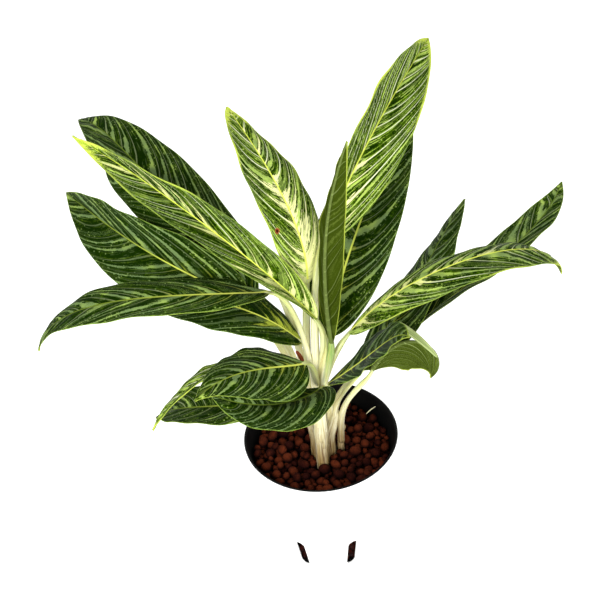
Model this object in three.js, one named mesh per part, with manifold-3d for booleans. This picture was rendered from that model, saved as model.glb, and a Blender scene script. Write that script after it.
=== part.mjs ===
// A potted chinese evergreen: a thin round culture pot filled with fired clay pebbles, four shoots
// of pale petioles standing in it, and nineteen striped leaf blades.
//
// Millimetres, +Z up. The origin is the middle of the pot's underside. +X is to the right as the
// front sees it, and +Y runs away from the front. A heading is measured from +X towards +Y.

import * as THREE from "three";
import { mergeVertices } from "three/addons/utils/BufferGeometryUtils.js";
import Module from "manifold-3d";

const wasm = await Module();
wasm.setup();

const UP = new THREE.Vector3(0, 0, 1);
const DEGREE = Math.PI / 180;

// ---- driving dimensions ---------------------------------------------------------------------

const POT = {
  height: 149,
  rimRadius: 75,
  footRadius: 45, // outside, where the side meets the underside
  wall: 1.6,
  floor: 3,
  lipHeight: 5,
  lipProud: 0.8,
  footBevel: 1.5,
  rimBevel: 0.6,
  sides: 48,
};

const SLOT = {
  count: 6,
  width: 10,
  bottom: 4,
  top: 44,
  turn: -5 * DEGREE, // the front pair sits a little to the left
  reachIn: 12, // how far the cutters reach inside and outside the foot's radius
  reachOut: 18,
};

const PEBBLES = {
  level: 134, // top of the solid bed, with the loose tops standing out of it
  smallest: 5.8, // radii
  largest: 8,
  count: 96,
  seed: 11,
  scatter: 1, // how far a pebble strays from its place on the spiral
  lift: 1.2, // how far it sits above or below the bed's top
  narrowest: 0.85, // its three axes against its radius: the first one varies
  widest: 1.15,
  length: 1.05,
  depth: 0.82,
  rounds: 60, // of pushing apart
};

const GAP = 0.35; // between pieces that touch on the real plant
const BLADE_GAP = 1; // between a petiole's end and its blade
const BLADE_THICKNESS = 0.8;
const BLADE_STEPS = 16; // along a blade
const MIDRIB_STRIDES = 96;
const BASE_HALF_WIDTH = 2.2; // where the blade meets its petiole
const TIP_HALF_WIDTH = 0.8;
const RIPPLE = { height: 1.4, waves: 2.5, leafShift: 0.37, sideShift: 0.25 };
const STEM = { below: 24, straight: 12, taper: 0.78, sides: 12, steps: 8 };
const HOLE = { clearance: 0.7, length: 60, sides: 16 }; // in the pebbles, one for each stem
const PETIOLE = {
  footRadius: 3.6,
  endRadius: 2.5,
  rootDepth: 20, // below its stem's top
  rise: 0.5, // upright handle at its root and handle in line with its blade, against its reach
  lead: 0.18,
  fill: 0.9, // widest foot against its stem's radius
  sides: 6,
  steps: 9,
};

// Each shoot stands on its own foot in the pebbles: a round sheathed stem, from which the petioles
// of its leaves leave at about the height of its top.
const SHOOTS = {
  front: { foot: [0, -17], radius: 6.4, top: 195, lean: [1, 2] },
  left: { foot: [-6, -3], radius: 4.6, top: 189, lean: [-3, 1] },
  right: { foot: [8, -4], radius: 5.6, top: 185, lean: [8, 2] },
  outer: { foot: [19, 0], radius: 3.2, top: 159, lean: [4, 1] },
};

// One row for each leaf, read off the photograph and rounded. start is where the blade begins, at
// the end of its petiole. heading (the compass direction), climb (above the horizon) and roll
// (about the midrib) are given at the blade's start, middle handle and tip, in degrees, and run
// smoothly between them. fold is how far the left and right halves rise from the flat, and curl, where
// it is given, how far each half rolls on from there towards its margin.
const LEAVES = {
  leaf_tall_right: {
    shoot: "front", start: [18, 24, 368], length: 250, halfWidth: 34,
    heading: [45, 55, 70], climb: [55, 20, -10], roll: [65, 45, 40], fold: [40, 20],
  },
  leaf_tall_back: {
    shoot: "front", start: [15, 15, 262], length: 245, halfWidth: 37,
    heading: [55, 55, 65], climb: [65, 35, 5], roll: [15, 20, 10], fold: [5, 5],
  },
  leaf_upright: {
    shoot: "front", start: [17, -16, 281], length: 260, halfWidth: 17,
    heading: [-70, -65, -60], climb: [100, 70, 65], roll: [-15, -50, -65], fold: [25, 60],
  },
  leaf_top_left: {
    shoot: "left", start: [0, 17, 327], length: 210, halfWidth: 29,
    heading: [130, 125, 105], climb: [100, 35, -10], roll: [-10, 20, 25], fold: [0, -5],
  },
  leaf_broad_back: {
    shoot: "left", start: [-45, 71, 309], length: 300, halfWidth: 38,
    heading: [150, 115, 120], climb: [15, 35, -30], roll: [15, -10, 5], fold: [15, 15],
  },
  leaf_long_left: {
    shoot: "front", start: [5, -14, 310], length: 300, halfWidth: 24,
    heading: [170, 140, 130], climb: [55, 25, -5], roll: [-5, -35, -60], fold: [35, 55],
  },
  leaf_broad_left: {
    shoot: "left", start: [-57, 46, 289], length: 240, halfWidth: 42,
    heading: [175, 130, 120], climb: [30, 10, -10], roll: [-35, -55, -55], fold: [15, 45],
  },
  leaf_between: {
    shoot: "left", start: [-54, 54, 280], length: 220, halfWidth: 28,
    heading: [165, 150, 115], climb: [75, 25, -18], roll: [-85, -55, -5], fold: [-20, 10],
  },
  leaf_level_left: {
    shoot: "front", start: [-35, -10, 343], length: 265, halfWidth: 24,
    heading: [210, 160, 150], climb: [25, 0, -70], roll: [5, 5, -25], fold: [-5, 0],
  },
  leaf_shaded_left: {
    shoot: "left", start: [-10, 2, 270], length: 175, halfWidth: 32,
    heading: [170, 175, 150], climb: [50, 15, -30], roll: [15, -5, -20], fold: [-5, 0],
  },
  leaf_arching_front: {
    shoot: "front", start: [-8, -32, 274], length: 135, halfWidth: 34,
    heading: [230, 200, 230], climb: [30, 35, -10], roll: [-20, -20, 15], fold: [-15, -15],
  },
  leaf_edge_on: {
    shoot: "left", start: [-25, 0, 237], length: 175, halfWidth: 27,
    heading: [220, 210, 215], climb: [60, 10, -45], roll: [15, 35, 30], fold: [10, 0],
  },
  leaf_low_front: {
    shoot: "front", start: [4, -25, 235], length: 150, halfWidth: 34,
    heading: [245, 215, 195], climb: [25, 25, 45], roll: [25, -25, -45], fold: [5, 10],
  },
  leaf_lowest: {
    shoot: "left", start: [-27, -4, 209], length: 185, halfWidth: 26,
    heading: [190, 145, 120], climb: [-5, -15, -60], roll: [-10, -10, -10], fold: [10, 15],
  },
  leaf_bright_right: {
    shoot: "front", start: [34, -7, 284], length: 280, halfWidth: 28,
    heading: [-5, 15, 50], climb: [55, 5, -70], roll: [0, -25, 20], fold: [-15, -15],
  },
  leaf_narrow_right: {
    shoot: "right", start: [44, 7, 224], length: 225, halfWidth: 31,
    heading: [40, 65, 60], climb: [30, 15, 0], roll: [0, -40, -30], fold: [-15, -5],
  },
  leaf_far_right: {
    shoot: "right", start: [75, 31, 230], length: 270, halfWidth: 29,
    heading: [30, 25, 70], climb: [20, 10, 0], roll: [-30, -30, 10], fold: [10, 15],
  },
  leaf_low_right: {
    shoot: "right", start: [12, 2, 214], length: 200, halfWidth: 21,
    heading: [-20, -70, -80], climb: [45, 65, 33], roll: [-30, 37, 20], fold: [28, -20],
  },
  leaf_turned_over: {
    shoot: "outer", start: [51, -32, 257], length: 114, halfWidth: 28,
    heading: [45, 12, -33], climb: [40, -10, -136], roll: [-70, -99, -150], fold: [-10, 105], curl: [0, 50],
  },
};

// ---- materials ------------------------------------------------------------------------------

const finish = (color, roughness) => new THREE.MeshStandardMaterial({ color, roughness, metalness: 0 });

const potPlastic = finish(0xf1f1ee, 0.45);
const firedClay = finish(0x5e241a, 0.9);
const palePetiole = finish(0xdcd7a8, 0.5);
const stripedLeaf = finish(0x4f7a33, 0.42);

// ---- small helpers --------------------------------------------------------------------------

// A closed geometry as a solid for joining and cutting.
function toSolid(geometry) {
  const bare = geometry.index ? geometry.toNonIndexed() : geometry.clone();
  bare.deleteAttribute("normal");
  bare.deleteAttribute("uv");
  const merged = mergeVertices(bare, 1e-4);
  return new wasm.Manifold(
    new wasm.Mesh({
      numProp: 3,
      vertProperties: new Float32Array(merged.attributes.position.array),
      triVerts: new Uint32Array(merged.index.array),
    }),
  );
}

function toGeometry(solid) {
  const mesh = solid.getMesh();
  const geometry = new THREE.BufferGeometry();
  geometry.setAttribute("position", new THREE.BufferAttribute(new Float32Array(mesh.vertProperties), 3));
  geometry.setIndex([...mesh.triVerts]);
  geometry.computeVertexNormals();
  return geometry;
}

const joinAll = (solids) => solids.reduce((sum, next) => sum.add(next));
const cutAll = (solid, tools) => tools.reduce((rest, tool) => rest.subtract(tool), solid);

// The largest body of a solid, with any pocket that the joining sealed inside it filled.
function withoutPockets(solid) {
  const shells = solid.decompose().sort((one, other) => other.volume() - one.volume());
  return shells[0];
}

// A quadratic run through a start, a handle and an end value.
const run = ([start, handle, end], t) => (1 - t) * (1 - t) * start + 2 * t * (1 - t) * handle + t * t * end;

// A small seeded generator of numbers from 0 to 1.
function randomFrom(seed) {
  let state = seed;
  return () => {
    state = (state * 1664525 + 1013904223) % 4294967296;
    return state / 4294967296;
  };
}

// ---- pot ------------------------------------------------------------------------------------

const sideSlope = (POT.rimRadius - POT.lipProud - POT.footRadius) / POT.height;
const outsideRadius = (z) => POT.footRadius + sideSlope * z;
const insideRadius = (z) => outsideRadius(z) - POT.wall;

// Turns a closed profile of [radius, height] points round the Z axis.
function turned(profile) {
  const points = profile.map(([radius, height]) => new THREE.Vector2(radius, height));
  return new THREE.LatheGeometry(points, POT.sides).rotateX(Math.PI / 2);
}

function potSolid() {
  const lipBottom = POT.height - POT.lipHeight;
  const shell = turned([
    [0, 0],
    [outsideRadius(0) - POT.footBevel, 0],
    [outsideRadius(POT.footBevel), POT.footBevel],
    [outsideRadius(lipBottom), lipBottom],
    [outsideRadius(lipBottom) + POT.lipProud, lipBottom + POT.lipProud],
    [POT.rimRadius, POT.height - POT.rimBevel],
    [POT.rimRadius - POT.rimBevel, POT.height],
    [insideRadius(POT.height), POT.height],
    [insideRadius(POT.floor), POT.floor],
    [0, POT.floor],
  ]);
  return cutAll(toSolid(shell), slotCutters());
}

// Upright slots with round ends, through the side just above the floor.
function slotCutters() {
  const half = SLOT.width / 2;
  const outline = new THREE.Shape();
  outline.absarc(0, SLOT.bottom + half, half, Math.PI, 0, false);
  outline.absarc(0, SLOT.top - half, half, 0, Math.PI, false);
  const depth = SLOT.reachIn + SLOT.reachOut;
  const cutter = new THREE.ExtrudeGeometry(outline, { depth, bevelEnabled: false, curveSegments: 4 });
  cutter.rotateX(Math.PI / 2).translate(0, SLOT.reachIn - POT.footRadius, 0);
  return Array.from({ length: SLOT.count }, (_, index) => {
    const turn = SLOT.turn + ((index + 0.5) / SLOT.count) * 2 * Math.PI;
    return toSolid(cutter.clone().rotateZ(turn));
  });
}

// ---- clay pebbles ---------------------------------------------------------------------------

// Pebbles start on a sunflower spiral, with seeded sizes, and are then pushed apart until they
// neither overlap each other nor the feet of the shoots nor the wall.
function pebbleLayout() {
  const random = randomFrom(PEBBLES.seed);
  const reach = insideRadius(PEBBLES.level) - GAP;
  const goldenAngle = Math.PI * (3 - Math.sqrt(5));
  const pebbles = Array.from({ length: PEBBLES.count }, (_, index) => {
    const radius = PEBBLES.smallest + (PEBBLES.largest - PEBBLES.smallest) * random();
    const distance = (reach - radius) * Math.sqrt((index + 0.5) / PEBBLES.count);
    const angle = index * goldenAngle;
    return {
      x: distance * Math.cos(angle) + PEBBLES.scatter * (2 * random() - 1),
      y: distance * Math.sin(angle) + PEBBLES.scatter * (2 * random() - 1),
      radius,
      lift: PEBBLES.lift * (2 * random() - 1),
      turn: random() * 2 * Math.PI,
      stretch: PEBBLES.narrowest + (PEBBLES.widest - PEBBLES.narrowest) * random(),
    };
  });
  const feet = Object.values(SHOOTS).map(({ foot: [x, y], radius }) => ({ x, y, radius: radius + 1 }));
  for (let round = 0; round < PEBBLES.rounds; round += 1) {
    pebbles.forEach((pebble, index) => {
      [...pebbles.slice(index + 1), ...feet].forEach((other) => pushApart(pebble, other));
      const distance = Math.hypot(pebble.x, pebble.y);
      const limit = reach - pebble.radius * PEBBLES.length;
      if (distance > limit) {
        pebble.x *= limit / distance;
        pebble.y *= limit / distance;
      }
    });
  }
  return pebbles;
}

// Moves a pebble off another, which gives way by half unless it is a shoot's foot.
function pushApart(pebble, other) {
  const dx = pebble.x - other.x;
  const dy = pebble.y - other.y;
  const distance = Math.hypot(dx, dy) || 0.01;
  const short = pebble.radius + other.radius - distance;
  if (short <= 0) return;
  const isFoot = other.turn === undefined;
  const share = isFoot ? 1 : 0.5;
  pebble.x += (dx / distance) * short * share;
  pebble.y += (dy / distance) * short * share;
  if (isFoot) return;
  other.x -= (dx / distance) * short * 0.5;
  other.y -= (dy / distance) * short * 0.5;
}

function pebbleBedSolid() {
  const bottom = POT.floor + GAP;
  const bed = turned([
    [0, bottom],
    [insideRadius(bottom) - GAP, bottom],
    [insideRadius(PEBBLES.level) - GAP, PEBBLES.level],
    [0, PEBBLES.level],
  ]);
  const tops = pebbleLayout().map(({ x, y, radius, lift, turn, stretch }) => {
    const pebble = new THREE.IcosahedronGeometry(radius, 0);
    pebble.scale(stretch, PEBBLES.length, PEBBLES.depth).rotateX(turn).rotateZ(turn);
    return toSolid(pebble.translate(x, y, PEBBLES.level + lift));
  });
  const holes = Object.values(SHOOTS).map(({ foot: [x, y], radius }) => {
    const wide = radius + HOLE.clearance;
    const hole = new THREE.CylinderGeometry(wide, wide, HOLE.length, HOLE.sides).rotateX(Math.PI / 2);
    return toSolid(hole.translate(x, y, PEBBLES.level));
  });
  return cutAll(joinAll([toSolid(bed), ...tops]), holes);
}

// ---- shoots: sheathed stem and petioles -----------------------------------------------------

// A closed round bar along a curve, with its radius running evenly from start to end.
function taperedBar(curve, startRadius, endRadius, sides, steps) {
  const frames = curve.computeFrenetFrames(steps, false);
  const positions = [];
  for (let step = 0; step <= steps; step += 1) {
    const t = step / steps;
    const centre = curve.getPointAt(t);
    const radius = startRadius + (endRadius - startRadius) * t;
    for (let side = 0; side < sides; side += 1) {
      const angle = (side / sides) * 2 * Math.PI;
      const point = centre
        .clone()
        .addScaledVector(frames.normals[step], radius * Math.cos(angle))
        .addScaledVector(frames.binormals[step], radius * Math.sin(angle));
      positions.push(point.x, point.y, point.z);
    }
  }
  const faces = [];
  for (let step = 0; step < steps; step += 1) {
    for (let side = 0; side < sides; side += 1) {
      const next = (side + 1) % sides;
      const [a, b] = [step * sides + side, step * sides + next];
      const [c, d] = [a + sides, b + sides];
      faces.push(a, b, d, a, d, c);
    }
  }
  const last = steps * sides;
  for (let side = 1; side < sides - 1; side += 1) {
    faces.push(0, side + 1, side, last, last + side, last + side + 1);
  }
  const bar = new THREE.BufferGeometry();
  bar.setAttribute("position", new THREE.Float32BufferAttribute(positions, 3));
  bar.setIndex(faces);
  return bar;
}

function directionOf(heading, climb) {
  const flat = Math.cos(climb * DEGREE);
  return new THREE.Vector3(
    flat * Math.cos(heading * DEGREE),
    flat * Math.sin(heading * DEGREE),
    Math.sin(climb * DEGREE),
  );
}

// A petiole rises out of its shoot's stem, bends outward and ends in line with its blade.
function petioleSolid(leaf, shoot) {
  const start = new THREE.Vector3(...leaf.start);
  const along = directionOf(leaf.heading[0], leaf.climb[0]);
  const end = start.clone().addScaledVector(along, -BLADE_GAP);
  const stemTop = new THREE.Vector3(shoot.foot[0] + shoot.lean[0], shoot.foot[1] + shoot.lean[1], shoot.top);
  const root = stemTop.clone().setZ(shoot.top - PETIOLE.rootDepth);
  root.x -= shoot.lean[0] * 0.5;
  root.y -= shoot.lean[1] * 0.5;
  const reach = root.distanceTo(end);
  const curve = new THREE.CubicBezierCurve3(
    root,
    root.clone().addScaledVector(UP, reach * PETIOLE.rise),
    end.clone().addScaledVector(along, -reach * PETIOLE.lead),
    end,
  );
  const footRadius = Math.min(PETIOLE.footRadius, shoot.radius * PETIOLE.fill);
  return toSolid(taperedBar(curve, footRadius, PETIOLE.endRadius, PETIOLE.sides, PETIOLE.steps));
}

function shootSolid(name) {
  const shoot = SHOOTS[name];
  const [x, y] = shoot.foot;
  const [leanX, leanY] = shoot.lean;
  const line = new THREE.CatmullRomCurve3([
    new THREE.Vector3(x, y, PEBBLES.level - STEM.below),
    new THREE.Vector3(x, y, PEBBLES.level + STEM.straight),
    new THREE.Vector3(x + leanX, y + leanY, shoot.top),
  ]);
  const stem = toSolid(taperedBar(line, shoot.radius, shoot.radius * STEM.taper, STEM.sides, STEM.steps));
  const bars = Object.values(LEAVES)
    .filter((leaf) => leaf.shoot === name)
    .map((leaf) => petioleSolid(leaf, shoot));
  return withoutPockets(joinAll([stem, ...bars]));
}

// ---- leaf blades ----------------------------------------------------------------------------

// The blade's frame at t, from 0 at its start to 1 at its tip: along the midrib, to its left, and
// out of its upper face.
function bladeFrame(leaf, t) {
  const heading = run(leaf.heading, t);
  const along = directionOf(heading, run(leaf.climb, t));
  const level = new THREE.Vector3(-Math.sin(heading * DEGREE), Math.cos(heading * DEGREE), 0);
  const roll = run(leaf.roll, t) * DEGREE;
  const upright = along.clone().cross(level);
  return {
    along,
    left: level.clone().multiplyScalar(Math.cos(roll)).addScaledVector(upright, Math.sin(roll)),
    out: level.multiplyScalar(-Math.sin(roll)).addScaledVector(upright, Math.cos(roll)),
  };
}

// The midrib walked in short straight strides, kept as a list of points evenly spaced along it.
function midribPoints(leaf) {
  const strides = MIDRIB_STRIDES;
  const point = new THREE.Vector3(...leaf.start);
  const points = [point.clone()];
  for (let stride = 0; stride < strides; stride += 1) {
    point.addScaledVector(bladeFrame(leaf, (stride + 0.5) / strides).along, leaf.length / strides);
    points.push(point.clone());
  }
  return points;
}

// Half width at t: widest a little under the middle, with a round base and a drawn-out tip.
const BASE_POWER = 0.6;
const TIP_POWER = 0.95;
const widestAt = BASE_POWER / (BASE_POWER + TIP_POWER);
const bulge = (t) => t ** BASE_POWER * (1 - t) ** TIP_POWER;
const endWidthAt = (t) => BASE_HALF_WIDTH + (TIP_HALF_WIDTH - BASE_HALF_WIDTH) * t;
const halfWidthAt = (leaf, t) => Math.hypot((leaf.halfWidth * bulge(t)) / bulge(widestAt), endWidthAt(t));

const ACROSS = [1, 0.55, 0, -0.55, -1]; // from the left margin over the midrib to the right one

// The blade's cross-section at v, from 1 at the left margin over 0 at the midrib to -1 at the right
// one, for a half width of 1: a straight fold, or an arc that starts at the fold and curls on.
function sectionAt(leaf, v) {
  const side = v < 0 ? 1 : 0;
  const reach = Math.abs(v);
  const fold = leaf.fold[side] * DEGREE;
  const curl = (leaf.curl ? leaf.curl[side] : 0) * DEGREE;
  const sideways = curl ? (Math.sin(fold + curl * reach) - Math.sin(fold)) / curl : Math.cos(fold) * reach;
  const rise = curl ? (Math.cos(fold) - Math.cos(fold + curl * reach)) / curl : Math.sin(fold) * reach;
  const tilt = v === 0 ? ((leaf.fold[0] - leaf.fold[1]) / 2) * DEGREE : Math.sign(v) * (fold + curl * reach);
  return { sideways: Math.sign(v) * sideways, rise, tilt };
}

// A blade is a thin closed sheet: an upper and a lower grid of points, half the thickness to
// either side of the middle face, split alike into triangles and walled round the margin.
function bladeGeometry(leaf, index) {
  const midrib = midribPoints(leaf);
  const upper = [];
  const lower = [];
  for (let step = 0; step <= BLADE_STEPS; step += 1) {
    const even = step / BLADE_STEPS;
    const t = 0.5 * even + 0.25 * (1 - Math.cos(Math.PI * even));
    const centre = pointAlong(midrib, t);
    const { left, out } = bladeFrame(leaf, t);
    const halfWidth = halfWidthAt(leaf, t);
    for (const v of ACROSS) {
      const { sideways, rise, tilt } = sectionAt(leaf, v);
      const phase = RIPPLE.waves * t + RIPPLE.leafShift * index + RIPPLE.sideShift * Math.sign(v);
      const wave = Math.sin(2 * Math.PI * phase);
      const ripple = RIPPLE.height * wave * v * v * Math.sin(Math.PI * t);
      const normal = out.clone().multiplyScalar(Math.cos(tilt)).addScaledVector(left, -Math.sin(tilt));
      const point = centre
        .clone()
        .addScaledVector(left, halfWidth * sideways)
        .addScaledVector(out, halfWidth * rise)
        .addScaledVector(normal, ripple);
      upper.push(point.clone().addScaledVector(normal, BLADE_THICKNESS / 2));
      lower.push(point.addScaledVector(normal, -BLADE_THICKNESS / 2));
    }
  }
  return sheetBetween(upper, lower, ACROSS.length);
}

function pointAlong(points, t) {
  const place = t * (points.length - 1);
  const before = Math.min(Math.floor(place), points.length - 2);
  return points[before].clone().lerp(points[before + 1], place - before);
}

function sheetBetween(upper, lower, columns) {
  const rows = upper.length / columns;
  const offset = upper.length;
  const faces = [];
  for (let row = 0; row < rows - 1; row += 1) {
    for (let column = 0; column < columns - 1; column += 1) {
      const a = row * columns + column;
      const b = a + columns;
      faces.push(a, a + 1, b + 1, a, b + 1, b);
      faces.push(a + offset, b + 1 + offset, a + 1 + offset, a + offset, b + offset, b + 1 + offset);
    }
  }
  const rim = [];
  for (let column = 0; column < columns; column += 1) rim.push(column);
  for (let row = 1; row < rows; row += 1) rim.push(row * columns + columns - 1);
  for (let column = columns - 2; column >= 0; column -= 1) rim.push((rows - 1) * columns + column);
  for (let row = rows - 2; row > 0; row -= 1) rim.push(row * columns);
  rim.forEach((from, place) => {
    const to = rim[(place + 1) % rim.length];
    faces.push(from, to + offset, to, from, from + offset, to + offset);
  });
  const sheet = new THREE.BufferGeometry();
  const positions = [...upper, ...lower].flatMap((point) => [point.x, point.y, point.z]);
  sheet.setAttribute("position", new THREE.Float32BufferAttribute(positions, 3));
  sheet.setIndex(faces);
  sheet.computeVertexNormals();
  return sheet;
}

// ---- the whole plant ------------------------------------------------------------------------

const plant = new THREE.Group();

function place(name, geometry, material) {
  const mesh = new THREE.Mesh(geometry, material);
  mesh.name = name;
  plant.add(mesh);
}

place("pot", toGeometry(potSolid()), potPlastic);
place("clay_pebbles", toGeometry(pebbleBedSolid()), firedClay);
for (const name of Object.keys(SHOOTS)) {
  place(`shoot_${name}`, toGeometry(shootSolid(name)), palePetiole);
}
Object.entries(LEAVES).forEach(([name, leaf], index) => {
  place(name, bladeGeometry(leaf, index), stripedLeaf);
});

export default plant;
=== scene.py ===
"""The looks of the potted chinese evergreen: pot, clay pebbles, sheathed stems, petioles, striped
leaf blades and three small dry or rolled strips. Metres, with a leaf's angles in degrees, and +Z
up. The origin is the middle of the pot's underside, +X is to the right as the front sees it, and
+Y runs away from the front."""

import math
from typing import NamedTuple

import bmesh
import bpy
import numpy as np
from mathutils import Matrix, Vector


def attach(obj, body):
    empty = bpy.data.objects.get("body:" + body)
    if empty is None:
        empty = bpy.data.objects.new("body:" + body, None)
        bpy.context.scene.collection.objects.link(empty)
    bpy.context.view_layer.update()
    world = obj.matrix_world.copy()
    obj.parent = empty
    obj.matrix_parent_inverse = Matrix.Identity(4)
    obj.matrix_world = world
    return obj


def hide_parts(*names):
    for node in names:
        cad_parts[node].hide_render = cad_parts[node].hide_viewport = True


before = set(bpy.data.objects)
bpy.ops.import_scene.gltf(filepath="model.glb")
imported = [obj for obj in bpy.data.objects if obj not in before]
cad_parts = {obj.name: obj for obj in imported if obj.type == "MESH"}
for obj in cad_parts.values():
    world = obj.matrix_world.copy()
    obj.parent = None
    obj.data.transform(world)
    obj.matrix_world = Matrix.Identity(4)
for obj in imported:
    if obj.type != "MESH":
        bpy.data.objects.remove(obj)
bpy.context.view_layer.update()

# ---- driving dimensions, the same as the solids' ----------------------------------------------

POT_HEIGHT = 0.149
RIM_RADIUS = 0.075
FOOT_RADIUS = 0.045
WALL = 0.0016
FLOOR = 0.003
LIP_HEIGHT = 0.005
LIP_PROUD = 0.0008
FOOT_BEVEL = 0.0015
RIM_BEVEL = 0.0006
SIDE_SLOPE = (RIM_RADIUS - LIP_PROUD - FOOT_RADIUS) / POT_HEIGHT

SLOT_COUNT = 6
SLOT_WIDTH = 0.010
SLOT_BOTTOM = 0.004
SLOT_TOP = 0.044
SLOT_TURN = math.radians(-5)
FRONT = math.radians(-90)  # the slots are counted from the front, which is -Y

BED_LEVEL = 0.134
BLADE_THICKNESS = 0.0008
RIPPLE = 0.0014
RIPPLE_WAVES = 2.5
BASE_HALF_WIDTH = 0.0022
TIP_HALF_WIDTH = 0.0008


class Shoot(NamedTuple):
    """A round sheathed stem: its foot in the pebbles, its radius there, its top and its lean."""

    foot: tuple
    radius: float
    top: float
    lean: tuple


SHOOTS = {
    "front": Shoot(foot=(0.000, -0.017), radius=0.0064, top=0.195, lean=(0.001, 0.002)),
    "left": Shoot(foot=(-0.006, -0.003), radius=0.0046, top=0.189, lean=(-0.003, 0.001)),
    "right": Shoot(foot=(0.008, -0.004), radius=0.0056, top=0.185, lean=(0.008, 0.002)),
    "outer": Shoot(foot=(0.019, 0.000), radius=0.0032, top=0.159, lean=(0.004, 0.001)),
}


class Leaf(NamedTuple):
    """One blade and its petiole. heading, climb and roll are its start, middle handle and tip;
    fold and curl are its left and right half. The last seven values are only for its colours."""

    shoot: str
    start: tuple
    length: float
    half_width: float
    heading: tuple
    climb: tuple
    roll: tuple
    fold: tuple
    curl: tuple = (0, 0)
    light: float = 0.5  # from a dark blade, 0, to a pale fresh one, 1
    silver: float = 0.5  # how much of it the silvery bands cover
    cream: float = 0.5  # how far cream spreads from the midrib
    green: float = 0.3  # how green its petiole turns towards the blade
    sweep: float = 1.0  # how steeply its veins run forward, against VEIN_SWEEP
    spacing: float = 1.0  # how far apart its veins are, against VEIN_SPACING
    spot: tuple = (9.0, 9.0)  # a blemish, sideways and along the midrib, far off where it has none


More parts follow.
